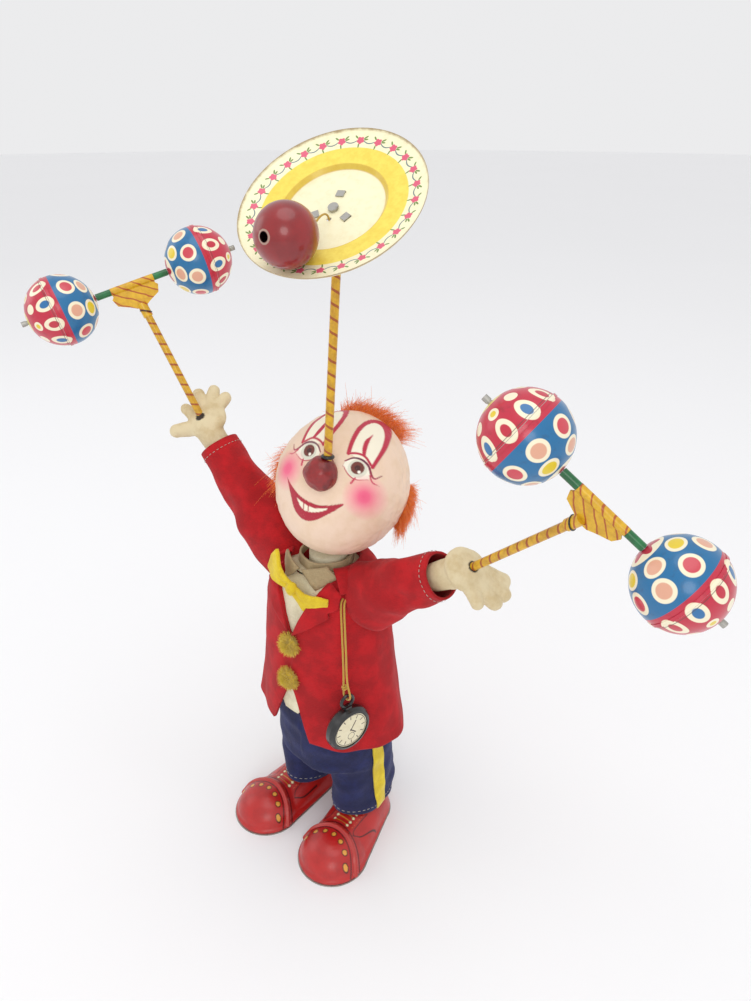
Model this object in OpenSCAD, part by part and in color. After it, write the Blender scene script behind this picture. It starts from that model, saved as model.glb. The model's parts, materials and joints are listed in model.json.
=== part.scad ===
// Clockwork juggling clown: a tin-plate motor in a dressed body swings two juggling wands
// and rocks a head that balances a spinning dish. Millimetres, +Z up, figure faces -Y.
// Origin: the floor, midway between the shoes, under the neck rod's column.

/* [Feet and legs] */
// Radius of the round toe of a shoe
toe_r = 17.5; // [16:0.5:18]
// Radius of the heel of a shoe
heel_r = 12.5; // [11:0.5:13]
// Height of the toe cap
toe_h = 14; // [12:0.5:16]
// Radius of a leg tube
leg_r = 6.5; // [5:0.5:7]

/* [Body] */
// Half width of the tin body shell
body_a = 26.5; // [26.5:0.1:27]
// Depth of the body over its width
body_ratio = 0.78; // [0.78:0.01:0.8]
// Thickness of the coat cloth
coat_t = 1.2; // [0.8:0.1:1.3]

/* [Motor] */
// Height of the winding arbor
wind_z = 88; // [86:0.5:89]
// Thickness of the motor plates
plate_t = 0.8; // [0.6:0.1:0.8]
// Radius of the crank pin's circle
crank_e = 3.5; // [3:0.1:3.5]
// Radius of the arbor pivots
pivot_r = 0.9; // [0.8:0.05:1]
// Running clearance of a pivot in its hole, on the radius
run_gap = 0.05; // [0.03:0.01:0.08]

/* [Arms and wands] */
// Height of the shoulder pivots
shoulder_z = 137; // [137:0.5:138]
// Sideways distance of a shoulder pivot from the middle
shoulder_x = 14; // [13.5:0.1:14]
// Radius of the striped sticks
stick_r = 1.65; // [1.4:0.05:1.8]
// Radius of the juggling balls
ball_r = 15; // [13:0.5:15]
// Distance from the wand's middle to a ball's centre
ball_reach = 31.75; // [31:0.25:33]
// Thickness of the ball's tin
ball_t = 0.4; // [0.3:0.05:0.6]

/* [Head and dish] */
// Half width of the head
head_a = 28; // [27:0.5:28.5]
// Half height of the head
head_c = 31; // [30:0.5:32]
// Outer radius of the dish
dish_r = 33.75; // [32:0.25:36]
// Radius of the red bead that rolls on the dish
bead_r = 10.5; // [9:0.5:10.5]

/* [Watch] */
// Outer radius of the watch case
watch_r = 10.75; // [9:0.25:11]
// Thickness of the watch case
watch_t = 6; // [4:0.5:6]

/* [Hidden] */
$fn = 48;

tin_red = "firebrick";
cloth_red = "crimson";
stick_yellow = "gold";
skin = "bisque";
steel = "silver";
brass = "darkgoldenrod";

// --- places -------------------------------------------------------------------------
toe_at = [22.6, -25.7];
heel_at = [17.5, 7];
sole_t = 0.6;
leg_at = [17.5, 6];
body_y = 1;                       // the body's axis stands a little behind the origin
front_y = -5;                     // outer face of the motor's front plate
back_y = 12;                      // inner face of the motor's back plate
neck_y = 3;
neck_pivot_z = 140;
arm_pin_z = shoulder_z - 14;      // arm levers are 14 long
neck_pin_z = neck_pivot_z - 28;   // the neck lever is 28 long
lever_y = -7.4;                   // front face of the levers
lever_t = 0.8;
bar_y = -9;                       // front face of the drive bar
bar_t = 0.8;
pin_r = 0.9;
slot_gap = 0.35;

great_teeth = 48;
great_m = 0.7;
second_teeth = 40;
crank_teeth = 30;
fine_m = 0.5;
pinion_a = 12;                    // on the second arbor, driven by the great wheel
pinion_b = 10;                    // on the crank arbor
pinion_c = 8;                     // on the governor arbor
second_z = wind_z + great_m * (great_teeth + pinion_a) / 2;
crank_turn = 150;                 // direction from the second arbor to the crank arbor
crank_gap = fine_m * (second_teeth + pinion_b) / 2;
crank_at = [crank_gap * cos(crank_turn), second_z + crank_gap * sin(crank_turn)];
fly_turn = 60;
fly_gap = fine_m * (crank_teeth + pinion_c) / 2;
fly_at = [crank_at[0] + fly_gap * cos(fly_turn), crank_at[1] + fly_gap * sin(fly_turn)];
crank_rest = -1.57;               // the bar rests this far from the middle of its travel
crank_pin_turn = acos(crank_rest / crank_e);

hand_right_at = [-74, 0, 198];
wand_right_at = [-103, -8, 258];
axle_right_dir = unit([26, 56, 16]);
hand_left_at = [73, 0, 176];
wand_left_at = [122.5, -7.5, 221.5];
axle_left_dir = unit([51, 9, -37]);
shoulder_right = [-shoulder_x, 0, shoulder_z];
shoulder_left = [shoulder_x, 0, shoulder_z];

head_at = [3.5, 9.5, 186.5];
face_dir = unit([0.345, -0.775, 0.53]);
crown_dir = unit([-0.004, 0.563, 0.826]);
ear_dir = cross(crown_dir, face_dir);      // towards the figure's left ear
nose_at = [14, -11.5, 202];
nose_hole = [14, -11, 207];
nose_r = 6.5;

dish_at = [11.5, -1, 297.5];               // top of the dish's floor, at its middle
dish_up = unit([0.151, -0.6, 0.786]);
pivot_at = dish_at - 5.5 * dish_up;
stick_dir = unit(pivot_at - nose_hole);
tilt_dir = unit(cross(stick_dir, dish_up));
bead_at = [15.3, -28.2, 292.5];
bead_bore = unit([0.06, -0.98, 0.07]);
string_hole = [0.85, -3.55, -2.88];        // from the middle of the dish's floor

watch_at = [31.4, -22.5, 88.5];
watch_face = unit([0.975, -0.22, 0]);

// Route of the doubled watch cord: out from under the lapel, down, round the top of the
// ring and back up beside itself.
watch_route = [
    [20.4, -11.2, 145.4], [20.9, -13.0, 144.2], [21.6, -14.0, 141], [22.8, -15.2, 136],
    [24.4, -16.8, 129], [26.0, -18.4, 122], [27.5, -20.0, 115], [28.6, -21.4, 110],
    [29.3, -22.2, 107.8], [29.5, -22.4, 106.3], [30.0, -22.45, 105.0], [31.1, -22.5, 104.35],
    [32.3, -22.6, 104.6], [33.1, -22.6, 105.7], [33.1, -22.5, 107.2], [32.2, -22.1, 109],
    [30.7, -21.3, 111.6], [29.1, -19.9, 116], [27.4, -18.0, 122.5], [25.7, -16.3, 129.5],
    [24.1, -14.7, 136.5], [22.9, -13.4, 141.2], [22.2, -12.4, 144.2], [21.7, -10.8, 145.3]];
cord_r = 0.45;

// Route of the bead's string: knotted under the dish, up through its hole, over and
// into the bead's bore, where it ends in a knot.
string_route = [
    [11.8, -3.3, 292.9], [12.1, -3.95, 293.8], [12.4, -4.7, 294.8], [12.75, -5.6, 295.8],
    [13.1, -7.2, 296.5], [13.5, -9.3, 296.4], [13.9, -11.6, 295.5], [14.3, -14.0, 294.0],
    [14.6, -16.2, 292.7], [14.8, -18.3, 292.15], [15.0, -21.4, 292.3], [15.2, -24.8, 292.55],
    [15.4, -28.4, 292.8], [15.6, -31.3, 293.0]];
string_r = 0.35;

// --- small tools ---------------------------------------------------------------------
function unit(v) = v / norm(v);
function square_to(v, w) = unit(v - (v * w) * w);
// rotation whose third axis is z and whose first axis is as near x as it can be
function frame_of(z, x, at) = let (a = square_to(x, z), b = cross(z, a))
    [[a[0], b[0], z[0], at[0]], [a[1], b[1], z[1], at[1]], [a[2], b[2], z[2], at[2]], [0, 0, 0, 1]];
module place(at, z, x = [0.31, 0.95, 0.02]) multmatrix(frame_of(z, x, at)) children();
module bar_between(p, q, r) place(p, unit(q - p)) cylinder(r = r, h = norm(q - p));
module on_y(at, y0, y1, r) translate([at[0], y1, at[1]]) rotate([90, 0, 0]) cylinder(r = r, h = y1 - y0);
module oval(a, ratio, h) scale([1, ratio, 1]) cylinder(r = a, h = h);

// closed tube of eight sides along a route
function ring_at(route, i, r, sides) = let (
    a = route[max(i - 1, 0)], b = route[min(i + 1, len(route) - 1)],
    t = unit(b - a), u = square_to([0.2, 0.9, 0.4], t), v = cross(t, u))
    [for (k = [0 : sides - 1]) route[i] + r * (cos(360 * k / sides) * u + sin(360 * k / sides) * v)];
module swept(route, r, sides = 8) {
    n = len(route);
    points = [for (i = [0 : n - 1]) each ring_at(route, i, r, sides)];
    walls = [for (i = [0 : n - 2], k = [0 : sides - 1]) let (j = (k + 1) % sides)
        [i * sides + k, (i + 1) * sides + k, (i + 1) * sides + j, i * sides + j]];
    polyhedron(points, concat([[for (k = [0 : sides - 1]) k]], walls,
        [[for (k = [sides - 1 : -1 : 0]) (n - 1) * sides + k]]));
}

// straight-flanked teeth, thin enough to run with backlash
function tooth(m, n, i, r, w) = let (a = 360 * i / n, h = w / r * 90 / PI)
    [r * cos(a + h), r * sin(a + h)];
module gear_shape(n, m, phase = 0) {
    root = m * n / 2 - 0.85 * m;
    tip = m * n / 2 + 0.65 * m;
    rotate(phase) polygon([for (i = [0 : n - 1]) each [
        tooth(m, n, i, root, -1.75 * m), tooth(m, n, i, tip, -0.62 * m),
        tooth(m, n, i, tip, 0.62 * m), tooth(m, n, i, root, 1.75 * m)]]);
}
module gear_y(at, y0, t, n, m, phase, bore) difference() {
    translate([at[0], y0 + t, at[1]]) rotate([90, 0, 0]) linear_extrude(t) gear_shape(n, m, phase);
    if (bore > 0) on_y(at, y0 - 1, y0 + t + 1, bore);
}
// phase of a wheel whose tooth gap faces a tooth of its mate, which lies back along dir
function mesh_phase(n_mate, phase_mate, n, dir) = dir + 180 - 180 / n
    + ((dir - phase_mate) % (360 / n_mate)) * n_mate / n;

// --- feet and legs ---------------------------------------------------------------------
// Outline of a shoe: two circles and the straight sides that touch both.
module shoe_outline(grow) {
    d = norm(heel_at - toe_at);
    dir = atan2(heel_at[1] - toe_at[1], heel_at[0] - toe_at[0]);
    lean = acos((toe_r - heel_r) / d);
    function side(c, r, s) = c + (r + grow - 0.15) * [cos(dir + s * lean), sin(dir + s * lean)];
    translate(toe_at) circle(r = toe_r + grow);
    translate(heel_at) circle(r = heel_r + grow);
    polygon([side(toe_at, toe_r, 1), side(heel_at, heel_r, 1), side(heel_at, heel_r, -1),
        side(toe_at, toe_r, -1)]);
}
module sole_plates() color(tin_red) for (s = [0, 1]) mirror([s, 0, 0])
    difference() {
        linear_extrude(sole_t) shoe_outline(0);
        translate([leg_at[0], leg_at[1], -1]) cylinder(r = 1.5, h = 3);
    }
// Side and front views of a shoe, whose overlap with its outline makes the pressed upper.
shoe_side = [[-44, 0], [-43.4, 5], [-41, 9], [-36, 12.4], [-30, 14], [-22, 14], [-14, 15.5], [-6, 19],
    [0, 20], [14, 20], [18.5, 17], [19.4, 6], [20, 0]];
shoe_front = [[-18, 0], [-17.3, 5], [-14, 10.5], [-9, 14.5], [-4, 20], [4, 20], [9, 14.5], [14, 10.5],
    [17.3, 5], [18, 0]];
module shoe_form(cut) intersection() {
    linear_extrude(40) shoe_outline(-cut);
    translate([0, 0, -cut]) rotate([90, 0, 90]) linear_extrude(60) polygon(shoe_side);
    translate([toe_at[0] - 2, 30, -cut]) rotate([90, 0, 0]) linear_extrude(90) polygon(shoe_front);
}
module shoe(s) color(tin_red) mirror([s, 0, 0]) difference() {
    translate([0, 0, sole_t + 0.02]) shoe_form(0);
    translate([0, 0, sole_t - 0.5]) shoe_form(0.9);
    translate([leg_at[0], leg_at[1], 5]) cylinder(r = leg_r + 0.3, h = 30);
    translate([0, -4, 16.4]) cube([50, 40, 10]);
}
module shoe_right() shoe(1);
module shoe_left() shoe(0);

module leg_tubes() color(steel) for (s = [-1, 1]) translate([s * leg_at[0], leg_at[1], 0]) {
    difference() {
        translate([0, 0, sole_t + 0.02]) cylinder(r = leg_r, h = 65.4 - sole_t);
        translate([0, 0, sole_t + 1]) cylinder(r = leg_r - 0.6, h = 70);
    }
    translate([0, 0, sole_t - 0.5]) cylinder(r = 1.4, h = 1);
}

trouser_leg = [16.6, 5];
trouser_t = 1.3;
module trouser_form(cut) {
    for (s = [-1, 1]) translate([s * trouser_leg[0], trouser_leg[1], 9]) scale([1, 1.45, 1])
        cylinder(r1 = 15 - cut, r2 = 14.5 - cut, h = 44);
    translate([0, body_y, 45 + cut]) scale([1, 0.8, 1])
        cylinder(r1 = 31 - cut, r2 = 30 - cut, h = 34 - cut);
}
// The hem hangs lower behind than in front, where it lies on the shoes.
module trousers() color("midnightblue") difference() {
    trouser_form(0);
    trouser_form(trouser_t);
    for (s = [-1, 1]) translate([s * trouser_leg[0], trouser_leg[1], 0]) scale([1, 1.45, 1])
        cylinder(r = 15 - trouser_t, h = 20);
    translate([0, body_y, 70]) scale([1, 0.8, 1]) cylinder(r = 30 - trouser_t, h = 20);
    translate([-50, -25, 19]) rotate([-4, 0, 0]) translate([0, -20, -30]) cube([100, 90, 30]);
}

// --- body shell and motor frame -----------------------------------------------------------
shell_z0 = 66;
shell_z1 = 131;
module body_shell() color(steel) translate([0, body_y, 0]) difference() {
    translate([0, 0, shell_z0]) oval(body_a, body_ratio, shell_z1 - shell_z0);
    translate([0, 0, shell_z0 + 0.8]) oval(body_a - 0.5, body_ratio, 80);
    translate([0, 0, wind_z]) rotate([-90, 0, 0]) cylinder(r = 3, h = 40);
    for (s = [-1, 1]) translate([s * leg_at[0], leg_at[1] - body_y, shell_z0 - 1])
        cylinder(r = 1.5, h = 3);
}

plate_half = 19.4;
plate_bottom = 68.2;
plate_top = 143.5;
module motor_plate(y0) difference() {
    translate([0, y0 + plate_t, 0]) rotate([90, 0, 0]) linear_extrude(plate_t) polygon([
        [-plate_half, plate_bottom], [plate_half, plate_bottom], [plate_half, 134], [16, plate_top],
        [-16, plate_top], [-plate_half, 134]]);
    for (p = [[0, wind_z], [0, second_z], crank_at, fly_at]) on_y(p, y0 - 1, y0 + 2, pivot_r + run_gap);
    for (s = [-1, 1]) on_y([s * shoulder_x, shoulder_z], y0 - 1, y0 + 2, 1.5 + run_gap);
    on_y([0, neck_pivot_z], y0 - 1, y0 + 2, 1.5 + run_gap);
    for (p = pillar_at) on_y(p, y0 - 1, y0 + 2, 1.25);
}
pillar_at = [[-16.8, 71.5], [16.8, 71.5], [-16.8, 127], [16.8, 127]];
screw_at = [[12, 114], [-11, 104.5]];
module motor_front_plate() color("lightsteelblue") difference() {
    motor_plate(front_y);
    for (p = screw_at) on_y(p, front_y - 1, front_y + 2, 1.05);
}
module motor_back_plate() color("lightsteelblue") difference() {
    motor_plate(back_y);
    on_y(click_at, back_y - 1, back_y + 2, 0.7 + run_gap);
}
module motor_pillars() color(brass) for (p = pillar_at) {
    on_y(p, front_y + plate_t + 0.02, back_y - 0.02, 1.9);
    on_y(p, front_y - 0.5, back_y + plate_t + 0.5, 1.2);
}
module slide_screws() color(steel) for (p = screw_at) {
    on_y(p, bar_y - 0.7, bar_y - 0.1, 1.8);
    on_y(p, bar_y - 0.3, front_y + plate_t + 0.3, 1.0);
}

// --- clockwork --------------------------------------------------------------------------
// Spiral spring: a ribbon of growing radius, from the arbor's hook to the frame pillar.
spring_turns = 7;
spring_steps = spring_turns * 20;
function spring_point(i, w) = let (r = 2.6 + i * 10 / spring_steps + w) [r * cos(i * 18), r * sin(i * 18)];
module mainspring() color("slategray") translate([0, 3.6, wind_z]) rotate([90, 0, 0])
    linear_extrude(7.4) polygon(concat([for (i = [0 : spring_steps]) spring_point(i, 0.2)],
        [for (i = [spring_steps : -1 : 0]) spring_point(i, -0.2)]));
ratchet_y = 9.6;
module winding_arbor() color(brass) {
    on_y([0, wind_z], front_y - 0.5, 36, pivot_r);
    on_y([0, wind_z], front_y + plate_t + 0.2, back_y - 0.3, 1.8);
    difference() {
        translate([0, ratchet_y + 1.4, wind_z]) rotate([90, 0, 0]) linear_extrude(1.4)
            polygon([for (i = [0 : 11]) each [
                [5.2 * cos(30 * i), 5.2 * sin(30 * i)],
                [4.1 * cos(30 * i + 3), 4.1 * sin(30 * i + 3)]]]);
        on_y([0, wind_z], ratchet_y - 1, ratchet_y + 3, 1);
    }
}
key_y = 31;
module winding_key() color(steel) {
    difference() {
        on_y([0, wind_z], key_y, key_y + 7, 2.4);
        on_y([0, wind_z], key_y - 1, key_y + 5.02, pivot_r + 0.02);
    }
    difference() {
        translate([0, key_y + 12.5, wind_z]) rotate([0, 90, 0]) translate([0, 0, -0.6]) union() {
            for (s = [-1, 1]) translate([s * 5.6, 0, 0]) cylinder(r = 5.8, h = 1.2);
            translate([-3, -6.4, 0]) cube([6, 6, 1.2]);
        }
        for (s = [-1, 1]) translate([0, key_y + 12.5, wind_z + s * 5.9]) rotate([0, 90, 0])
            translate([0, 0, -2]) cylinder(r = 2.9, h = 4);
    }
}
great_y = 7;
module great_wheel() color(brass)
    gear_y([0, wind_z], great_y, 1.2, great_teeth, great_m, 0, 1.8 + run_gap);
module second_wheel() color(brass) {
    on_y([0, second_z], front_y - 0.4, back_y + plate_t + 0.4, pivot_r);
    gear_y([0, second_z], great_y - 0.3, 1.8, pinion_a, great_m, mesh_phase(great_teeth, 0, pinion_a, 90), 0);
    gear_y([0, second_z], 5, 0.8, second_teeth, fine_m, 0, 0);
}
crank_phase = mesh_phase(second_teeth, 0, pinion_b, crank_turn);
module crank_wheel() color(brass) {
    on_y(crank_at, front_y - 0.45, back_y + plate_t + 0.4, pivot_r);
    gear_y(crank_at, 4.7, 1.4, pinion_b, fine_m, crank_phase, 0);
    gear_y(crank_at, 1.6, 0.8, crank_teeth, fine_m, crank_phase, 0);
}
disc_y = front_y - 1.3;
module crank_disc() color(steel) {
    difference() {
        on_y(crank_at, disc_y, disc_y + 0.8, 5.2);
        on_y(crank_at, disc_y + 0.84, disc_y + 2, pivot_r + 0.02);
    }
    on_y([crank_at[0] + crank_e * cos(crank_pin_turn), crank_at[1] + crank_e * sin(crank_pin_turn)],
        bar_y + bar_t + 0.4, disc_y + 0.1, 0.8);
}
module governor_fly() color(brass) {
    on_y(fly_at, front_y - 0.4, back_y + plate_t + 0.4, pivot_r);
    gear_y(fly_at, 1.3, 1.4, pinion_c, fine_m, mesh_phase(crank_teeth, crank_phase, pinion_c, fly_turn), 0);
    translate([fly_at[0] - 4.4, 3.4, fly_at[1] - 0.35]) cube([8.8, 4.5, 0.7]);
}
click_at = [7.6, wind_z + 1.5];
module click() color(steel) {
    on_y(click_at, 9.6, back_y + plate_t + 0.4, 0.7);
    translate([0, 11, 0]) rotate([90, 0, 0]) linear_extrude(1.4)
        polygon([[click_at[0] - 1.2, click_at[1] - 0.6], [5.35, wind_z + 1.3], [5.75, wind_z + 2.4],
            [click_at[0] - 0.6, click_at[1] + 1.2], [click_at[0] + 7, click_at[1] + 4.6],
            [click_at[0] + 7.4, click_at[1] + 4.1], [click_at[0] + 1.1, click_at[1] - 0.6]]);
}

// The bar slides sideways on two shouldered screws. A slot takes the crank pin.
module drive_bar() color("lightsteelblue") {
    difference() {
        translate([0, bar_y + bar_t, 0]) rotate([90, 0, 0]) linear_extrude(bar_t) polygon([
            [-16.4, 126], [16.4, 126], [16.4, 109.4], [-3.4, 109.4], [-3.4, 101.2], [-18.4, 101.2],
            [-18.4, 112], [-16.4, 120]]);
        slide_slot(screw_at[0]);
        slide_slot(screw_at[1]);
        pin_x = crank_at[0] + crank_rest;
        translate([pin_x - 1.15, bar_y - 1, crank_at[1] - crank_e - 1.1]) cube([2.3, 3, 2 * crank_e + 2.2]);
    }
    for (s = [-1, 1]) on_y([s * shoulder_x, arm_pin_z], bar_y + bar_t - 0.1, lever_y + lever_t + 0.3, pin_r);
    on_y([0, neck_pin_z], bar_y + bar_t - 0.1, lever_y + lever_t + 0.3, pin_r);
}
module slide_slot(p) {
    for (dx = [-5.2, 2.05]) on_y([p[0] + dx, p[1]], bar_y - 1, bar_y + 2, 1.2);
    translate([p[0] - 5.2, bar_y - 1, p[1] - 1.2]) cube([7.25, 3, 2.4]);
}

// A lever with a forked end around a pin of the bar, on a shaft through both plates.
module lever(at, length) difference() {
    union() {
        on_y(at, lever_y, lever_y + lever_t, 3.2);
        translate([at[0] - 2.2, lever_y, at[1] - length - 2.6]) cube([4.4, lever_t, length + 2.6]);
    }
    translate([at[0] - pin_r - slot_gap, lever_y - 1, at[1] - length - 3])
        cube([2 * (pin_r + slot_gap), 3, 4.6]);
}
module shaft(at) on_y(at, lever_y, back_y + plate_t + 0.6, 1.5);

// --- arms -------------------------------------------------------------------------------
module arm_lever(at, hand) color(steel) {
    lever([at[0], at[2]], 14);
    shaft([at[0], at[2]]);
    difference() {
        bar_between(at, hand + 12.5 * unit(at - hand), 1.4);
        on_y([at[0], at[2]], -5, 5, 1.2);
    }
}
module arm_lever_right() arm_lever(shoulder_right, hand_right_at);
module arm_lever_left() arm_lever(shoulder_left, hand_left_at);

// Composition hand: a palm disc across the stick, a wrist along the arm, stub fingers.
module hand(at, shoulder, up, thumb_side) color(skin) {
    wrist = unit(shoulder - at);
    across = unit(cross(up, wrist));
    out = cross(up, across);
    difference() {
        union() {
            place(at - 4.5 * up, up) cylinder(r = 9.5, h = 8);
            bar_between(at - 1.5 * up + 4 * wrist, at + 17 * wrist, 6.4);
            for (f = [-1, 0, 1]) {
                tip = at - 1.6 * up + 17 * out * (f == 0 ? 1 : 0.92) + f * 8.5 * across;
                bar_between(at - 1 * up + f * 4 * across, tip, 2.9);
                translate(tip) sphere(r = 3.1);
            }
            thumb = at - 1.6 * up + thumb_side * 13 * across + 1 * out;
            bar_between(at - 1 * up, thumb, 3.2);
            translate(thumb) sphere(r = 3.5);
        }
        place(at - 9 * up, up) cylinder(r = stick_r + 0.08, h = 20);
        place(at + 1.6 * up, up) cylinder(r1 = stick_r + 0.05, r2 = 3.2, h = 2.6);
        bar_between(at + 10 * wrist, at + 30 * wrist, 1.45);
    }
}
up_right = unit(wand_right_at - hand_right_at);
up_left = unit(wand_left_at - hand_left_at);
module hand_right() hand(hand_right_at, shoulder_right, up_right, -1);
module hand_left() hand(hand_left_at, shoulder_left, up_left, 1);

// Sleeve: the stiffened cloth tube that rides with the arm.
module sleeve(at, hand) color(cloth_red) {
    dir = unit(at - hand);
    long = norm(at - hand) - 14.5 - 20;
    difference() {
        place(hand + 14.5 * dir, dir, [0, 1, 0]) cylinder(r1 = 9.6, r2 = 12.6, h = long);
        place(hand + 14 * dir, dir, [0, 1, 0]) cylinder(r1 = 8.4, r2 = 11.4, h = long + 1);
    }
}
module sleeve_right() sleeve(shoulder_right, hand_right_at);
module sleeve_left() sleeve(shoulder_left, hand_left_at);

// --- wands ------------------------------------------------------------------------------
neck_len = 15;
stick_tail = 8;
module wand_stick(hand, mid) color(stick_yellow) {
    up = unit(mid - hand);
    bar_between(hand - stick_tail * up, mid - (neck_len - 6) * up, stick_r);
}
module stick_right() wand_stick(hand_right_at, wand_right_at);
module stick_left() wand_stick(hand_left_at, wand_left_at);

bracket_half = 9.85;
axle_r = 0.9;
// Folded tin: rolled round the axle, a flat fan, and a neck wrapped round the stick.
module bracket(mid, axle, up) color(stick_yellow) {
    side = unit(cross(axle, up));
    down = cross(side, axle) * (cross(side, axle) * up > 0 ? -1 : 1);
    difference() {
        union() {
            bar_between(mid - bracket_half * axle, mid + bracket_half * axle, 1.6);
            place(mid - 0.4 * side, side, axle) linear_extrude(0.8) {
                s = cross(side, axle) * down > 0 ? 1 : -1;
                polygon([for (p = [[-9.7, 0], [-9.7, 2.4], [-10.6, 3.4], [-9.4, 6.6], [-4.6, 8.8], [-1.9, 10.4],
                    [1.9, 10.4], [4.6, 8.8], [9.4, 6.6], [10.6, 3.4], [9.7, 2.4], [9.7, 0]]) [p[0], s * p[1]]]);
            }
            bar_between(mid - 8.6 * up, mid - neck_len * up, 2.15);
        }
        bar_between(mid - 12 * axle, mid + 12 * axle, axle_r + 0.03);
        bar_between(mid - 8.98 * up, mid - 18 * up, stick_r + 0.03);
    }
}
module bracket_right() bracket(wand_right_at, axle_right_dir, up_right);
module bracket_left() bracket(wand_left_at, axle_left_dir, up_left);

spacer_gap = 0.25;
module axle(mid, dir) color(steel) for (s = [-1, 1]) {
    reach = ball_reach + ball_r;
    if (s == 1) bar_between(mid - (reach + 1) * dir, mid + (reach + 1) * dir, axle_r);
    bar_between(mid + s * (reach + 0.5) * dir, mid + s * (reach + 2.6) * dir, 1.15);
}
module axle_right() axle(wand_right_at, axle_right_dir);
module axle_left() axle(wand_left_at, axle_left_dir);
module spacers(mid, dir) color("seagreen") for (s = [-1, 1]) difference() {
    bar_between(mid + s * (bracket_half + 0.1) * dir, mid + s * (ball_reach - ball_r - spacer_gap) * dir, 1.5);
    bar_between(mid, mid + s * 30 * dir, axle_r + 0.03);
}
module spacers_right() spacers(wand_right_at, axle_right_dir);
module spacers_left() spacers(wand_left_at, axle_left_dir);

// One half of a tin ball, open at its seam. The seam stands off the middle, towards
// the outer half, and carries a rolled bead. z points from the wand outwards.
seam_z = 3;
module ball_half(mid, dir, outer) {
    bore = axle_r + 0.08;
    inside = ball_r - ball_t;
    place(mid + ball_reach * dir, dir) difference() {
        union() {
            intersection() {
                sphere(r = ball_r, $fn = 64);
                if (outer) translate([0, 0, seam_z + 0.02]) cylinder(r = 20, h = 20);
                else translate([0, 0, seam_z - 25]) cylinder(r = 20, h = 25);
            }
            if (!outer) translate([0, 0, seam_z - 1.2]) cylinder(r = ball_r + 0.1, h = 1.2);
        }
        sphere(r = inside, $fn = 64);
        translate([0, 0, -20]) cylinder(r = bore, h = 40);
    }
}
module ball_right_front_inner() color("steelblue") ball_half(wand_right_at, -axle_right_dir, false);
module ball_right_front_outer() color("crimson") ball_half(wand_right_at, -axle_right_dir, true);
module ball_right_rear_inner() color("steelblue") ball_half(wand_right_at, axle_right_dir, false);
module ball_right_rear_outer() color("crimson") ball_half(wand_right_at, axle_right_dir, true);
module ball_left_near_inner() color("steelblue") ball_half(wand_left_at, -axle_left_dir, false);
module ball_left_near_outer() color("crimson") ball_half(wand_left_at, -axle_left_dir, true);
module ball_left_far_inner() color("steelblue") ball_half(wand_left_at, axle_left_dir, false);
module ball_left_far_outer() color("crimson") ball_half(wand_left_at, axle_left_dir, true);

// --- head -------------------------------------------------------------------------------
neck_top = 165;
module neck_rocker() color(steel) {
    lever([0, neck_pivot_z], neck_pivot_z - neck_pin_z);
    difference() {
        shaft([0, neck_pivot_z]);
        translate([0, neck_y, neck_pivot_z - 3]) cylinder(r = 1.52, h = 10);
    }
    translate([0, neck_y, neck_pivot_z - 2.6]) cylinder(r = 1.5, h = neck_top - neck_pivot_z + 2.6);
    translate([0, neck_y, neck_pivot_z]) difference() {
        sphere(r = 2.6);
        translate([0, 0, -4]) cylinder(r = 1.4, h = 8);
    }
}
module head_form(cut) place(head_at, crown_dir, face_dir)
    scale([head_a - cut, head_a - cut, head_c - cut]) sphere(r = 1, $fn = 96);
module head_shell() color(skin) difference() {
    union() {
        difference() {
            head_form(0);
            head_form(1.6);
        }
        translate([0, neck_y, 155.2]) cylinder(r = 5.5, h = 5.5);
    }
    translate([0, neck_y, 150]) cylinder(r = 1.5 + run_gap, h = 40);
    translate(nose_at) sphere(r = nose_r + 0.1);
}
module nose() color("maroon") difference() {
    translate(nose_at) sphere(r = nose_r);
    bar_between(nose_hole - 8.6 * stick_dir, nose_hole + 5 * stick_dir, stick_r + 0.08);
}
// distance from the head's middle to its surface along a direction
function head_reach(d) = 1 / sqrt(pow(d * crown_dir / head_c, 2) + (1 - pow(d * crown_dir, 2)) / pow(head_a, 2));
module tuft(d, r1, r2, h) place(head_at + (head_reach(d) + 0.15) * d, d) cylinder(r1 = r1, r2 = r2, h = h);
module hair() color("darkorange") {
    tuft(unit(crown_dir - 0.33 * face_dir), 13, 8, 6);
    for (s = [-1, 1]) tuft(unit(s * ear_dir - 0.33 * face_dir), 10, 5, 6);
}

// --- dish -------------------------------------------------------------------------------
module dish_stick() color(stick_yellow) {
    bar_between(nose_hole - 8 * stick_dir, pivot_at - 3.4 * stick_dir, stick_r);
    place(pivot_at - 3.5 * stick_dir, stick_dir, tilt_dir) translate([-0.6, -1.2, 0]) cube([1.2, 2.4, 3.5]);
    bar_between(pivot_at - 0.6 * tilt_dir, pivot_at + 0.6 * tilt_dir, 1.5);
    bar_between(pivot_at - 2.4 * tilt_dir, pivot_at + 2.4 * tilt_dir, 0.7);
}
module dish_fork() color(steel) difference() {
    union() {
        for (s = [-1, 1]) {
            bar_between(pivot_at + s * 0.9 * tilt_dir, pivot_at + s * 1.7 * tilt_dir, 1.6);
            place(pivot_at, dish_up, tilt_dir) translate([s * 1.3 - 0.35, -1.3, 0]) cube([0.7, 2.6, 3.2]);
        }
        place(pivot_at + 2.9 * dish_up, dish_up) cylinder(r = 2.3, h = 0.9);
        place(pivot_at + 3.2 * dish_up, dish_up) cylinder(r = 0.9, h = 3.3);
        place(dish_at + 0.35 * dish_up, dish_up) cylinder(r = 1.9, h = 0.7);
    }
    bar_between(pivot_at - 3 * tilt_dir, pivot_at + 3 * tilt_dir, 0.7 + run_gap);
}
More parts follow.
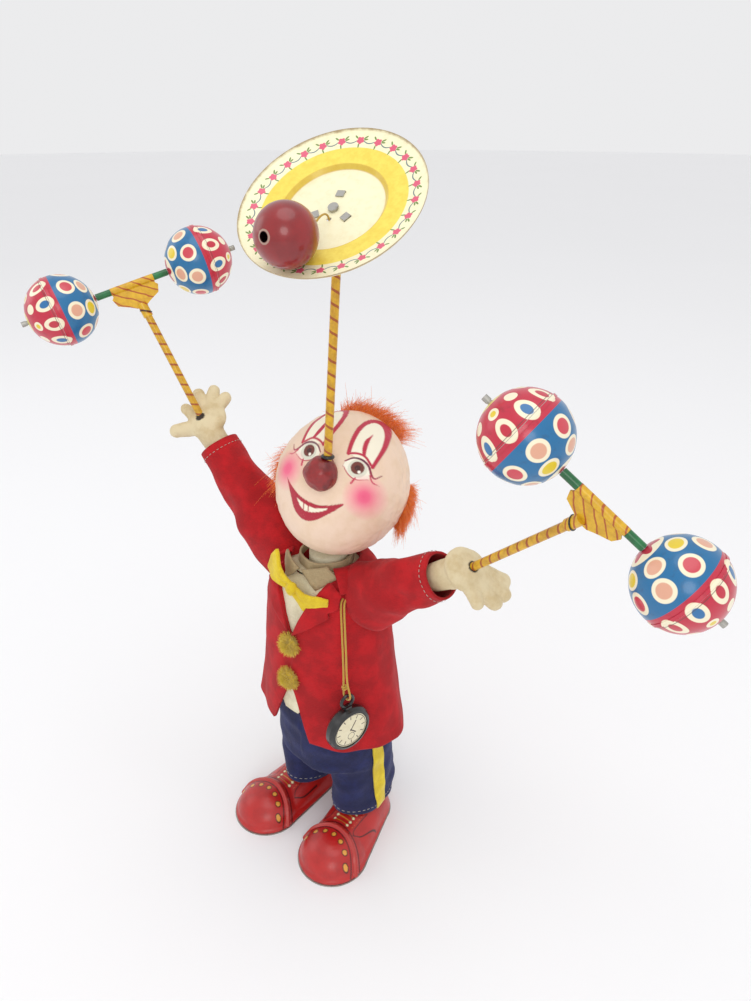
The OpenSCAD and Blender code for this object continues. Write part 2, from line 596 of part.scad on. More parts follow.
// Profile of the dish, floor top at zero height
dish_t = 0.5;
dish_profile = [[0, 0], [18.2, 0], [19.5, 1.5], [27.2, 2.1], [33.2, 3.4], [dish_r, 4.2]];
module dish() color("lightyellow") difference() {
    place(dish_at, dish_up, [0, 0, 1]) rotate_extrude($fn = 96) polygon(concat(dish_profile,
        [for (i = [len(dish_profile) - 1 : -1 : 0]) dish_profile[i] - [0, dish_t]]));
    bar_between(dish_at - 3 * dish_up, dish_at + 3 * dish_up, 0.9 + run_gap);
    bar_between(dish_at + string_hole - 3 * dish_up, dish_at + string_hole + 3 * dish_up, 0.9);
    for (a = tab_turns) place(dish_at, dish_up, -string_hole) rotate(a)
        translate([tab_reach - 0.35, -1.7, -2]) cube([0.7, 3.4, 4]);
}
tab_turns = [0, 120, 240];
tab_reach = 7.8;
// Three-legged tin spider under the floor. Its tabs come up through slots and are bent over.
module dish_bracket() color(steel) place(dish_at, dish_up, -string_hole) {
    difference() {
        union() {
            translate([0, 0, -1.4]) cylinder(r = 4, h = 0.7);
            for (a = tab_turns) rotate(a) translate([0, -1.5, -1.4]) cube([tab_reach + 0.2, 3, 0.7]);
        }
        translate([0, 0, -3]) cylinder(r = 0.9 + run_gap, h = 6);
        rotate(180) translate([norm(string_hole), 0, -3]) cylinder(r = 1.1, h = 6);
    }
    for (a = tab_turns) rotate(a) {
        translate([tab_reach - 0.2, -1.5, -1.4]) cube([0.4, 3, 1.9]);
        translate([tab_reach - 2.4, -1.5, 0.1]) cube([2.6, 3, 0.4]);
    }
}
module red_bead() color("darkred") difference() {
    translate(bead_at) sphere(r = bead_r, $fn = 64);
    bar_between(bead_at - 15 * bead_bore, bead_at + 15 * bead_bore, 1.6);
}
module bead_string() color("khaki") swept(string_route, string_r);

// --- clothes ------------------------------------------------------------------------------
coat_ratio = 0.76;
coat_profile = [[39.6, 62], [37.2, 75], [34.6, 90], [32.6, 105], [31.4, 120], [30, 132], [27.8, 142],
    [23, 148.4], [16.8, 152.4]];
module cloth_tube(profile, t, ratio) translate([0, body_y, 0]) scale([1, ratio, 1]) rotate_extrude()
    polygon(concat(profile, [for (i = [len(profile) - 1 : -1 : 0]) profile[i] - [t, 0]]));
neck_v = [[-12.5, 156], [12.5, 156], [1.2, 124.5], [-1.2, 124.5]];
hem_v = [[-2.5, 93], [2.5, 93], [13, 60], [-13, 60]];
module through_front(shape) translate([0, -6, 0]) rotate([90, 0, 0]) linear_extrude(40) polygon(shape);
module armhole(at, hand) bar_between(at, at + 30 * unit(hand - at), 12.5);
module coat() color(cloth_red) difference() {
    cloth_tube(coat_profile, coat_t, coat_ratio);
    through_front(neck_v);
    through_front(hem_v);
    armhole(shoulder_right + [0, 0, 1], hand_right_at);
    armhole(shoulder_left + [0, 0, 1], hand_left_at);
    translate([0, 0, wind_z]) rotate([-90, 0, 0]) cylinder(r = 3, h = 60);
}
shirt_profile = [[28.1, 76], [28.1, 128], [27, 138], [21.5, 145.5], [14, 149.8]];
module shirt_front() color("ivory") intersection() {
    cloth_tube(shirt_profile, 0.5, coat_ratio);
    translate([-17, -40, 76]) cube([34, 31, 80]);
}
module collar() color("tan") translate([0, body_y, 0]) difference() {
    rotate_extrude() polygon([[11.8, 150.6], [12.4, 151.1], [10, 154.6], [9.4, 154.1]]);
    translate([-2, -20, 140]) cube([4, 18, 20]);
}
module bow_tie() color("gold") translate([0, -21, 147.6]) rotate([90, 0, 0]) linear_extrude(4)
    polygon([[-14, -5.6], [-2.4, -2.2], [2.4, -2.2], [14, -5.6], [14, 5.6], [2.4, 2.2], [-2.4, 2.2], [-14, 5.6]]);
module coat_buttons() color("olive") for (p = [[0, -26, 119.4], [0, -27.6, 101.5]])
    translate(p) rotate([90, 0, 0]) difference() {
        sphere(r = 5);
        translate([-10, -10, -12]) cube([20, 20, 10]);
    }

// --- watch --------------------------------------------------------------------------------
module watch_case() color("dimgray") {
    h = watch_t / 2;
    place(watch_at, watch_face, [0, 0, 1]) rotate_extrude($fn = 64) polygon([[0, -h],
        [watch_r - 1.6, -h], [watch_r, 1.8 - h], [watch_r, h - 1.8], [watch_r - 0.9, h - 0.4],
        [watch_r - 2.1, h], [watch_r - 2.3, h - 1], [0, h - 1]]);
    place(watch_at, watch_face, [0, 0, 1]) translate([watch_r - 0.8, -1.5, -1.3]) cube([2.2, 3, 2.6]);
    place(watch_at + [0, 0, watch_r + 4], watch_face, [0, 0, 1]) rotate_extrude() translate([3, 0])
        circle(r = 0.75, $fn = 8);
}
module watch_dial() color("beige") place(watch_at + (watch_t / 2 - 0.98) * watch_face, watch_face, [0, 0, 1])
    cylinder(r = watch_r - 2.4, h = 0.4);
module watch_cord() color("goldenrod") swept(watch_route, cord_r);

// --- the assembly ---------------------------------------------------------------------------
sole_plates();
shoe_right();
shoe_left();
leg_tubes();
trousers();
body_shell();
motor_front_plate();
motor_back_plate();
motor_pillars();
mainspring();
slide_screws();
coat();
shirt_front();
collar();
bow_tie();
coat_buttons();
click();
winding_arbor();
winding_key();
great_wheel();
second_wheel();
crank_wheel();
crank_disc();
governor_fly();
drive_bar();
arm_lever_right();
hand_right();
sleeve_right();
arm_lever_left();
hand_left();
sleeve_left();
stick_right();
bracket_right();
axle_right();
spacers_right();
stick_left();
bracket_left();
axle_left();
spacers_left();
ball_right_front_inner();
ball_right_front_outer();
ball_right_rear_inner();
ball_right_rear_outer();
ball_left_near_inner();
ball_left_near_outer();
ball_left_far_inner();
ball_left_far_outer();
neck_rocker();
head_shell();
nose();
hair();
dish_stick();
dish_fork();
dish();
dish_bracket();
red_bead();
bead_string();
watch_case();
watch_dial();
watch_cord();
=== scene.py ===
"""Clockwork juggling clown: a cloth-dressed tin figure with a spinning dish and four printed balls."""
import functools
import json
import math
import random

import bmesh
import bpy
import numpy as np
from mathutils import Matrix, Vector, noise
from mathutils.bvhtree import BVHTree


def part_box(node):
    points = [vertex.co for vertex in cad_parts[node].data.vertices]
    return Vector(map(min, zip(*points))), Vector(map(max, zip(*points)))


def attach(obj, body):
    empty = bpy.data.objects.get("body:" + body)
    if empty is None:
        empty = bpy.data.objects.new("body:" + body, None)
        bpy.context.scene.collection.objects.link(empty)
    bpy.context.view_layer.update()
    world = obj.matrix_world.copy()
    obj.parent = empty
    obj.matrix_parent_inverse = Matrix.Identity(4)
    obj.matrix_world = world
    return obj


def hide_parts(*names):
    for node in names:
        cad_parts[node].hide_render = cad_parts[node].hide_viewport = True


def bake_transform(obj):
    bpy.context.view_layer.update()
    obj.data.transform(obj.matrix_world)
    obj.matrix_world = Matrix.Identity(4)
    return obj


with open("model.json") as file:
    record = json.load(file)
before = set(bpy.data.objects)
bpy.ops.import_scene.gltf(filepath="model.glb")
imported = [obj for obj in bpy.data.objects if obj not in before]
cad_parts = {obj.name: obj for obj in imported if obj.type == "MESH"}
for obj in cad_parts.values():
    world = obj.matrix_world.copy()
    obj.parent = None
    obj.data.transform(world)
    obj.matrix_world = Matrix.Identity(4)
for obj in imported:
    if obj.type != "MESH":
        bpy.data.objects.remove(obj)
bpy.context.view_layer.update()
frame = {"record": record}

MM = 0.001
JOINTS = {joint["name"]: joint for joint in frame["record"]["behaviour"]["joints"]}


def pivot(joint):
    return Vector(JOINTS[joint]["pos_m"])


def axis(joint):
    return Vector(JOINTS[joint]["axis"]).normalized()


def mm(x, y, z):
    return Vector((x, y, z)) * MM


# --- camera ---------------------------------------------------------------------------------
scene = bpy.context.scene
camera = bpy.data.objects.new("camera", bpy.data.cameras.new("camera"))
scene.collection.objects.link(camera)
scene.camera = camera
camera.location = mm(193.3, -205, 330)
camera.rotation_euler = Vector((-0.5524, 0.6888, -0.4695)).to_track_quat("-Z", "Y").to_euler()
camera.data.sensor_fit = "VERTICAL"
camera.data.sensor_height = 36
camera.data.lens = 27.04
camera.data.clip_start = 0.01


# --- shader tools ---------------------------------------------------------------------------
class Value:
    """A shader socket that takes Python arithmetic."""

    def __init__(self, finish, socket):
        self.finish = finish
        self.socket = socket

    def math(self, operation, *others):
        return self.finish.node("Math", {"operation": operation}, [self, *others])

    def __add__(self, other):
        return self.math("ADD", other)

    def __sub__(self, other):
        return self.math("SUBTRACT", other)

    def __rsub__(self, other):
        return self.finish.node("Math", {"operation": "SUBTRACT"}, [other, self])

    def __mul__(self, other):
        return self.math("MULTIPLY", other)

    def __truediv__(self, other):
        return self.math("DIVIDE", other)

    def __pow__(self, other):
        return self.math("POWER", other)

    def __or__(self, other):
        return self.math("MAXIMUM", other)

    def __and__(self, other):
        return self.math("MINIMUM", other)

    def __abs__(self):
        return self.math("ABSOLUTE")

    __radd__ = __add__
    __rmul__ = __mul__


def srgb(red, green, blue):
    """Linear colour from 0 to 255 screen values."""
    parts = [part / 255 for part in (red, green, blue)]
    return tuple(p / 12.92 if p < 0.04045 else ((p + 0.055) / 1.055) ** 2.4 for p in parts) + (1,)


class Finish:
    """One material: a principled shader and the nodes that feed it."""

    def __init__(self, name, **shader):
        self.material = bpy.data.materials.new(name)
        self.material.use_nodes = True
        self.tree = self.material.node_tree
        self.shader = self.tree.nodes["Principled BSDF"]
        for socket, value in shader.items():
            self.shader.inputs[socket.replace("_", " ")].default_value = value
        self.place = self.node("TexCoord", out="Object")

    def node(self, kind, settings=None, values=(), out=0):
        made = self.tree.nodes.new("ShaderNode" + kind)
        for key, value in (settings or {}).items():
            setattr(made, key, value)
        for key, value in values.items() if isinstance(values, dict) else enumerate(values):
            if isinstance(value, Value):
                self.tree.links.new(value.socket, made.inputs[key])
            else:
                made.inputs[key].default_value = value
        return Value(self, made.outputs[out])

    def set(self, socket, value):
        self.tree.links.new(value.socket, self.shader.inputs[socket])

    def mix(self, factor, low, high):
        return self.node("Mix", {"data_type": "RGBA"}, {0: factor, 6: low, 7: high}, out=2)

    def grain(self, size, detail=3, rough=0.5, stretch=(1, 1, 1)):
        """Noise whose features are about size metres across."""
        spot = self.node("Mapping", {}, {"Vector": self.place, "Scale": stretch})
        return self.node("TexNoise", {},
            {"Vector": spot, "Scale": 1 / size, "Detail": detail, "Roughness": rough})

    def along(self, origin, direction):
        """Distance along a direction from a point, in millimetres."""
        offset = self.node("VectorMath", {"operation": "SUBTRACT"}, [self.place, tuple(origin)])
        scaled = [part / MM for part in direction]
        return self.node("VectorMath", {"operation": "DOT_PRODUCT"}, [offset, scaled], out="Value")

    def step(self, value, edge, soft):
        """0 below the edge and 1 above it."""
        return self.node("MapRange", {"interpolation_type": "SMOOTHSTEP"},
            [value, edge - soft, edge + soft, 0, 1])

    def bump(self, height, distance, strength=1.0, under=None):
        values = {"Height": height, "Distance": distance, "Strength": strength}
        if under is not None:
            values["Normal"] = under
        return self.node("Bump", {}, values)

    def polar(self, origin, direction, start):
        """Radius and turn about an axis, and distance along it, in millimetres and turns."""
        across = (Vector(start) - Vector(start).dot(direction) * direction).normalized()
        x = self.along(origin, across)
        y = self.along(origin, direction.cross(across))
        radius = (x * x + y * y) ** 0.5
        return radius, y.math("ARCTAN2", x) / math.tau, self.along(origin, direction)


def cloth(name, colour, dark, pile, weave=0.45, sheen=0.6, tint=(1, 1, 1, 1)):
    """Napped cloth: tiny weave, worn patches and a soft sheen."""
    finish = Finish(name, Roughness=0.92, Sheen_Weight=sheen, Sheen_Roughness=0.45, Sheen_Tint=tint)
    worn = finish.grain(9 * MM, 5, 0.62)
    nap = finish.grain(pile * MM, 2)
    base = finish.mix(finish.step(worn, 0.52, 0.14), dark, colour)
    finish.set("Base Color", finish.mix(nap * 0.4, base, tuple(min(1, c * 1.6) for c in colour[:3]) + (1,)))
    threads = finish.node("TexWave", {"bands_direction": "Z"},
        {"Vector": finish.place, "Scale": 1 / (weave * MM) / 6, "Distortion": 3, "Detail": 2})
    finish.set("Normal", finish.bump(nap + threads * 0.4, 0.12 * MM, 0.8, finish.bump(worn, 0.5 * MM, 0.5)))
    return finish.material


def lacquer(name, colour, dark, rough=0.3, coat=0.3, speck=0.25 * MM):
    """Glossy paint with faint mottling and tiny chips."""
    finish = Finish(name, Coat_Weight=coat, Coat_Roughness=0.12)
    cloud = finish.grain(6 * MM, 5, 0.6)
    chips = finish.step(finish.grain(speck * 6, 5, 0.7), 0.69, 0.02)
    finish.set("Base Color",
        finish.mix(chips * 0.6, finish.mix(finish.step(cloud, 0.5, 0.2), dark, colour), srgb(92, 70, 52)))
    finish.set("Roughness", cloud * 0.2 + rough - 0.08)
    finish.set("Normal", finish.bump(cloud, 0.1 * MM, 0.4))
    return finish.material


def metal(name, colour, rough=0.35, tarnish=(0.2, 0.17, 0.13, 1)):
    """Plated tin with fine rolling marks and tarnished spots."""
    finish = Finish(name, Metallic=1.0)
    marks = finish.grain(0.7 * MM, 3, 0.6, (1, 1, 12))
    spots = finish.step(finish.grain(4 * MM, 6, 0.65), 0.6, 0.1)
    finish.set("Base Color", finish.mix(spots * 0.7, colour, tarnish))
    finish.set("Roughness", marks * 0.2 + spots * 0.25 + (rough - 0.1))
    finish.set("Normal", finish.bump(marks, 0.04 * MM, 0.5))
    return finish.material


def painted(name, ground, rough=0.5, coat=0.0, wear=0.0, grit=0.15, stain=None, speckle=0.5):
    """Hand or litho painting held in the piece's "paint" attribute over a mottled ground; on the hands it
    also holds a painted shade disc for the wand's hole.
    """
    finish = Finish(name, Coat_Weight=coat, Coat_Roughness=0.2)
    paint = finish.node("Attribute", {"attribute_name": "paint"}, out="Color")
    cover = finish.node("Attribute", {"attribute_name": "paint"}, out="Alpha")
    cloud = finish.grain(8 * MM, 6, 0.62)
    fine = finish.grain(0.6 * MM, 4, 0.7)
    dirt = stain or tuple(c * 0.8 for c in ground[:3]) + (1,)
    base = finish.mix(finish.step(cloud, 0.55, 0.16) * 0.7, ground, dirt)
    base = finish.mix(finish.step(fine, 0.68, 0.05) * speckle, base,
        tuple(c * 0.45 for c in ground[:3]) + (1,))
    worn = 1 - finish.step(fine, 0.66, 0.06) * wear
    finish.set("Base Color", finish.mix(cover * worn, base, paint))
    finish.set("Roughness", cloud * 0.25 + (rough - 0.12))
    finish.set("Normal", finish.bump(fine, grit * MM, 0.5, finish.bump(cloud, 0.4 * MM, 0.4)))
    return finish.material


# --- colours --------------------------------------------------------------------------------
CREAM = srgb(246, 236, 205)
CRIMSON = srgb(190, 32, 66)
BLUE = srgb(18, 108, 160)
INK = srgb(46, 14, 12)


# --- making tools ---------------------------------------------------------------------------
def keep(name, data, body, slot, finish=None, replaced=()):
    """Link a piece whose data is already in place, and say what it rides on."""
    piece = bpy.data.objects.new(name, data)
    scene.collection.objects.link(piece)
    if finish:
        piece.data.materials.append(finish)
    if body:
        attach(piece, body)
    if replaced:
        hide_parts(*replaced)
    return piece


def mesh_of(form, name, smooth=True):
    """Mesh data from a bmesh, with its normals put right."""
    bmesh.ops.remove_doubles(form, verts=form.verts, dist=1e-7)
    bmesh.ops.recalc_face_normals(form, faces=form.faces)
    data = bpy.data.meshes.new(name)
    form.to_mesh(data)
    form.free()
    data.polygons.foreach_set("use_smooth", [smooth] * len(data.polygons))
    return data


def settled(data, name, *modifiers):
    """A copy of the mesh with modifiers run on it and applied."""
    helper = bpy.data.objects.new(name + "_helper", data)
    scene.collection.objects.link(helper)
    for kind, settings in modifiers:
        modifier = helper.modifiers.new(kind, kind)
        for key, value in settings.items():
            setattr(modifier, key, value)
    graph = bpy.context.evaluated_depsgraph_get()
    result = bpy.data.meshes.new_from_object(helper.evaluated_get(graph))
    result.name = name
    bpy.data.objects.remove(helper)
    result.polygons.foreach_set("use_smooth", [True] * len(result.polygons))
    return result


def melted(form, name, voxel, rounds=6):
    """Overlapping closed shapes joined into one soft skin."""
    return settled(mesh_of(form, name), name,
                   ("REMESH", {"mode": "VOXEL", "voxel_size": voxel}),
                   ("SMOOTH", {"factor": 0.5, "iterations": rounds}))


def facing(direction, centre, spin=(0.31, 0.95, 0.02)):
    """Matrix that stands a shape's Z along a direction at a centre."""
    z = Vector(direction).normalized()
    x = (Vector(spin) - Vector(spin).dot(z) * z).normalized()
    turn = Matrix((x, z.cross(x), z)).transposed().to_4x4()
    return Matrix.Translation(centre) @ turn


def pour(form, part):
    """Add one bmesh to another and let it go."""
    data = bpy.data.meshes.new("part")
    part.to_mesh(data)
    part.free()
    form.from_mesh(data)


def cut(form, at, normal, **clear):
    """Cut a bmesh with a plane and clear one side."""
    geometry = form.verts[:] + form.edges[:] + form.faces[:]
    bmesh.ops.bisect_plane(form, geom=geometry, plane_co=at, plane_no=normal, **clear)


def ball(form, centre, radii, turn=Matrix(), fine=24):
    """A solid ellipsoid in a bmesh; radii in millimetres."""
    sizes = Matrix.Diagonal((*[r * MM for r in radii], 1))
    bmesh.ops.create_uvsphere(form, u_segments=fine, v_segments=fine // 2, radius=1,
                              matrix=Matrix.Translation(centre) @ turn.to_3x3().to_4x4() @ sizes)


def limb(form, start, end, thick, thin, fine=24):
    """A round-ended taper between two points; radii in millimetres."""
    way = end - start
    bmesh.ops.create_cone(form, cap_ends=True, segments=fine, radius1=thick * MM, radius2=thin * MM,
                          depth=way.length, matrix=facing(way, (start + end) / 2))
    ball(form, start, (thick,) * 3, fine=fine)
    ball(form, end, (thin,) * 3, fine=fine)


def threads(name, paths, radius, body, slot, finish, replaced=(), tip=1.0, sides=0):
    """Many fine strands in one curve, thinning to their tips."""
    data = bpy.data.curves.new(name, "CURVE")
    data.dimensions = "3D"
    data.bevel_depth = radius
    data.bevel_resolution = sides
    data.use_fill_caps = True
    for path in paths:
        strand = data.splines.new("POLY")
        strand.points.add(len(path) - 1)
        for i, (point, at) in enumerate(zip(strand.points, path)):
            point.co = (*at, 1)
            point.radius = 1 + (tip - 1) * i / (len(path) - 1)
    return keep(name, data, body, slot, finish, replaced)


def sheet_grid(columns, rows, place):
    """A grid whose corners run from 0 to 1 both ways, each corner set by place(u, v)."""
    form = bmesh.new()
    bmesh.ops.create_grid(form, x_segments=columns, y_segments=rows, size=0.5)
    for corner in form.verts:
        corner.co = place(corner.co.x + 0.5, corner.co.y + 0.5)
    return form


def patch(outline, place, cuts=4):
    """A flat outline filled, divided and bent over a surface by place(x, y)."""
    form = bmesh.new()
    form.faces.new([form.verts.new((x, y, 0)) for x, y in outline])
    bmesh.ops.triangulate(form, faces=form.faces)
    for _ in range(cuts):
        bmesh.ops.subdivide_edges(form, edges=form.edges, cuts=1, use_grid_fill=True)
    bmesh.ops.triangulate(form, faces=form.faces)
    for corner in form.verts:
        corner.co = place(corner.co.x, corner.co.y)
    return form


def thick(form, name, amount, body, slot, finish, replaced=(), offset=1.0, rounded=True):
    """An open sheet given its thickness."""
    piece = keep(name, mesh_of(form, name), body, slot, finish, replaced)
    wall = piece.modifiers.new("thickness", "SOLIDIFY")
    wall.thickness = amount
    wall.offset = offset
    if rounded:
        soft = piece.modifiers.new("softness", "SUBSURF")
        soft.levels = soft.render_levels = 1
    return piece


def wobble(point, size, seed=0.0):
    """Smooth seeded noise between -1 and 1."""
    return noise.noise(Vector(point) / size + Vector((seed, seed * 1.7, -seed)))


def curve_through(points, steps=5):
    """Points of a smooth curve that passes through the given ones."""
    whole = [2 * points[0] - points[1], *points, 2 * points[-1] - points[-2]]
    out = []
    for a, b, c, d in zip(whole, whole[1:], whole[2:], whole[3:]):
        for i in range(steps):
            t = i / steps
            out.append(0.5 * (2 * b + (c - a) * t + (2 * a - 5 * b + 4 * c - d) * t * t
                              + (3 * b - a - 3 * c + d) * t ** 3))
    return out + [points[-1]]


def length_of(path):
    return sum((b - a).length for a, b in zip(path, path[1:]))


def landing(piece_data):
    """A function that drops a ray on a mesh and gives the point hit and its normal."""
    form = bmesh.new()
    form.from_mesh(piece_data)
    tree = BVHTree.FromBMesh(form)
    form.free()

    def drop(start, direction):
        hit, normal, _, _ = tree.ray_cast(start, Vector(direction).normalized())
        return hit, normal
    return drop


# --- cords ----------------------------------------------------------------------------------
def cord_finish(name, colour):
    finish = Finish(name, Roughness=0.8, Sheen_Weight=0.3)
    strands = finish.grain(0.5 * MM, 3, 0.6, (1, 1, 2.5))
    finish.set("Base Color", finish.mix(strands, colour, tuple(c * 0.5 for c in colour[:3]) + (1,)))
    finish.set("Normal", finish.bump(strands, 0.15 * MM, 0.9))
    return finish.material


COTTON = cord_finish("yellow_cotton", srgb(214, 170, 62))
WATCH_ROUTE = [mm(*p) for p in (
    (20.4, -11.2, 145.4), (20.9, -13.0, 144.2), (21.6, -14.0, 141), (22.8, -15.2, 136),
    (24.4, -16.8, 129), (26.0, -18.4, 122), (27.5, -20.0, 115), (28.6, -21.4, 110),
    (29.3, -22.2, 107.8), (29.5, -22.4, 106.3), (30.0, -22.45, 105.0), (31.1, -22.5, 104.35),
    (32.3, -22.6, 104.6), (33.1, -22.6, 105.7), (33.1, -22.5, 107.2), (32.2, -22.1, 109),
    (30.7, -21.3, 111.6), (29.1, -19.9, 116), (27.4, -18.0, 122.5), (25.7, -16.3, 129.5),
    (24.1, -14.7, 136.5), (22.9, -13.4, 141.2), (22.2, -12.4, 144.2), (21.7, -10.8, 145.3))]
STRING_ROUTE = [mm(*p) for p in (
    (11.8, -3.3, 292.9), (12.1, -3.95, 293.8), (12.4, -4.7, 294.8), (12.75, -5.6, 295.8),
    (13.1, -7.2, 296.5), (13.5, -9.3, 296.4), (13.9, -11.6, 295.5), (14.3, -14.0, 294.0),
    (14.6, -16.2, 292.7), (14.8, -18.3, 292.15), (15.0, -21.4, 292.3), (15.2, -24.8, 292.55),
    (15.3, -28.2, 292.5), (15.5, -31.1, 292.7))]


def knot(name, centre, size, body):
    """A tight overhand knot: a short strand wound on itself."""
    turns = [centre + size * MM * Vector((math.cos(3 * t) * (1 + 0.4 * math.cos(2 * t)),
                                          math.sin(3 * t) * (1 + 0.4 * math.cos(2 * t)),
                                          0.9 * math.sin(2 * t)))
             for t in [math.tau * i / 60 for i in range(61)]]
    return threads(name, [turns], 0.4 * MM, body, "cord_yellow", COTTON, sides=2)


watch_path = curve_through(WATCH_ROUTE)
watch_cord = threads("watch_cord_cotton", [watch_path], 0.45 * MM, "watch", "cord_yellow", COTTON,
    ["watch_cord"], sides=4)
watch_knot = knot("watch_cord_knot", mm(29.6, -21.9, 109.4), 0.75, "watch")
round(length_of(watch_path), 4)
string_path = curve_through(STRING_ROUTE)
bead_string = threads("bead_string_cotton", [string_path], 0.35 * MM, "bead", "cord_yellow", COTTON,
    ["bead_string"], sides=4)
string_knot = knot("bead_string_knot", mm(15.6, -31.6, 293.0), 0.55, "bead")
round(length_of(string_path), 4)

# --- painting on a mesh ---------------------------------------------------------------------
def gap_from(points, path, closed):
    """Distance of each point from a path, negative inside a closed one, and how far along it is."""
    starts = path if closed else path[:-1]
    ends = np.roll(path, -1, axis=0) if closed else path[1:]
    nearest = np.full(len(points), 1e9)
    along = np.zeros(len(points))
    inside = np.zeros(len(points), bool)
    for i, (a, b) in enumerate(zip(starts, ends)):
        way = b - a
        t = np.clip(((points - a) @ way) / max(way @ way, 1e-12), 0, 1)
        gap = np.linalg.norm(points - a - t[:, None] * way, axis=1)
        closer = gap < nearest
        nearest[closer] = gap[closer]
        along[closer] = (i + t[closer]) / len(starts)
        if closed:
            spans = (a[1] > points[:, 1]) != (b[1] > points[:, 1])
            cross = a[0] + (points[:, 1] - a[1]) * (b[0] - a[0]) / ((b[1] - a[1]) or 1e-12)
            inside ^= spans & (points[:, 0] < cross)
    return np.where(inside, -nearest, nearest), along


def smooth_path(points, closed=False, steps=8):
    flat = [Vector((x, y, 0)) for x, y in points]
    if closed:
        flat = flat + flat[:1]
    return np.array([(p.x, p.y) for p in curve_through(flat, steps)])


class Brush:
    """Paints strokes and fills on a mesh through a flat view of it, in millimetres."""

    def __init__(self, data, centre, right, up, soft=0.22):
        spots = np.empty(len(data.vertices) * 3, np.float32)
        data.vertices.foreach_get("co", spots)
        normals = np.empty(len(data.vertices) * 3, np.float32)
        data.vertices.foreach_get("normal", normals)
        offset = (spots.reshape(-1, 3) - np.array(centre)) / MM
        self.flat = np.stack([offset @ np.array(right), offset @ np.array(up)], axis=1)
        self.shown = normals.reshape(-1, 3) @ np.array(Vector(right).cross(Vector(up))) > 0.05
        self.paint = np.zeros((len(data.vertices), 4), np.float32)
        self.data = data
        self.soft = soft

    def lay(self, cover, colour):
        cover = np.clip(cover, 0, 1) * self.shown
        self.paint[:, :3] += (np.array(colour[:3]) - self.paint[:, :3]) * np.where(
            self.paint[:, 3:] > 0.001, cover[:, None], 1.0 * (cover[:, None] > 0))
        self.paint[:, 3] = np.maximum(self.paint[:, 3], cover)

    def fill(self, path, colour, strength=1.0):
        gap, _ = gap_from(self.flat, path, True)
        self.lay((0.5 - gap / self.soft) * strength, colour)

    def stroke(self, path, width, colour, tips=(1, 1)):
        """A stroke whose width tapers towards its two tips."""
        gap, along = gap_from(self.flat, path, False)
        shape = np.interp(along, [0, 0.35, 0.65, 1], [tips[0], 1, 1, tips[1]])
        self.lay(0.5 - (gap - width * shape / 2) / self.soft, colour)

    def disc(self, centre, radii, colour, soft=None):
        gap = np.hypot((self.flat[:, 0] - centre[0]) / radii[0], (self.flat[:, 1] - centre[1]) / radii[1])
        self.lay(0.5 - (gap - 1) * min(radii) / (soft or self.soft), colour)

    def finish(self):
        layer = self.data.attributes.new("paint", "FLOAT_COLOR", "POINT")
        layer.data.foreach_set("color", self.paint.ravel())


# --- head -----------------------------------------------------------------------------------
HEAD = mm(3.5, 9.5, 186.5)
HEAD_A, HEAD_C = 28, 31
FACE = Vector((0.345, -0.775, 0.53)).normalized()
CROWN = Vector((-0.004, 0.563, 0.826))
CROWN = (CROWN - CROWN.dot(FACE) * FACE).normalized()
EAR = CROWN.cross(FACE)
NOSE = mm(11.8, -12.6, 202)


def swell(u, v, at, size):
    return math.exp(-((u - at[0]) ** 2 + (v - at[1]) ** 2) / size ** 2)


def head_relief(u, w, v):
    """How far the head stands out of a plain egg, in millimetres, at ear, face and crown places."""
    front = max(0.0, min(1.0, (w - 2) / 12))
    sides = abs(u)
    rise = 1.1 * swell(sides, v, (14, -3.5), 7.5) + 1.3 * swell(u, v, (0, -23), 9)
    rise += 0.8 * swell(sides, v, (9.5, 15), 6) - 0.9 * swell(sides, v, (10.6, 7), 5)
    rise -= 0.8 * swell(sides, v, (16.5, -13), 4.5) - 0.6 * swell(u, v, (0, -13), 10)
    rise *= front
    ear = math.exp(-((sides - 27) / 5) ** 2 - ((v - 1) / 9) ** 2 - ((w - 2) / 6) ** 2)
    creases = noise.noise(Vector((u * 0.16, v * 0.42, w * 0.5))) * math.exp(-((w - 3) / 9) ** 2)
    pores = noise.noise(Vector((u, v, w)) * 0.22)
    return rise + 1.1 * ear + 0.6 * creases * max(0.0, sides / HEAD_A) + 0.14 * pores


def make_head():
    axes = Matrix((EAR, FACE, CROWN)).transposed()
    poles = Matrix.Rotation(-math.pi / 2, 4, "X")
    form = bmesh.new()
    bmesh.ops.create_uvsphere(form, u_segments=380, v_segments=240, radius=1, matrix=poles)
    for corner in form.verts:
        u, w, v = corner.co.x * HEAD_A, corner.co.y * HEAD_A, corner.co.z * HEAD_C
        out = head_relief(u, w, v)
        corner.co = HEAD + axes @ (Vector((u, w, v)) * MM + corner.co.normalized() * out * MM)
    data = mesh_of(form, "head_paint")
    brush = Brush(data, HEAD, EAR, CROWN)
    paint_face(brush)
    brush.finish()
    return data


BROW = [(5.4, 11.3), (4.6, 16.5), (4.2, 22), (5.0, 26.2), (7.2, 28.4), (10.6, 27.8), (13.8, 24.6), (15.6, 20),
    (16.0, 15.5), (15.5, 9.4)]
LID = [(5.4, 8.0), (7.8, 10.2), (10.9, 10.7), (13.9, 9.4), (16.2, 6.4), (17.9, 5.5), (19.6, 7.6)]
UNDER = [(5.4, 6.0), (8.6, 3.4), (12.0, 2.6), (15.9, 4.2)]
MOUTH = [(-15.8, -5.6), (-12.3, -8.2), (-8.0, -10.6), (-4.0, -11.7), (0.6, -11.9), (5.4, -10.6), (10.8, -7.9),
         (8.6, -11.2), (5.6, -14.4), (2.2, -17.6), (-1.4, -19.3), (-5.2, -18.9), (-8.6, -16.6),
         (-11.4, -12.6)]
TEETH = [(-8.6, -12.0), (-4.2, -13.3), (0.4, -13.5), (5.4, -11.9), (3.0, -14.0), (-1.2, -15.6), (-5.0, -15.3)]


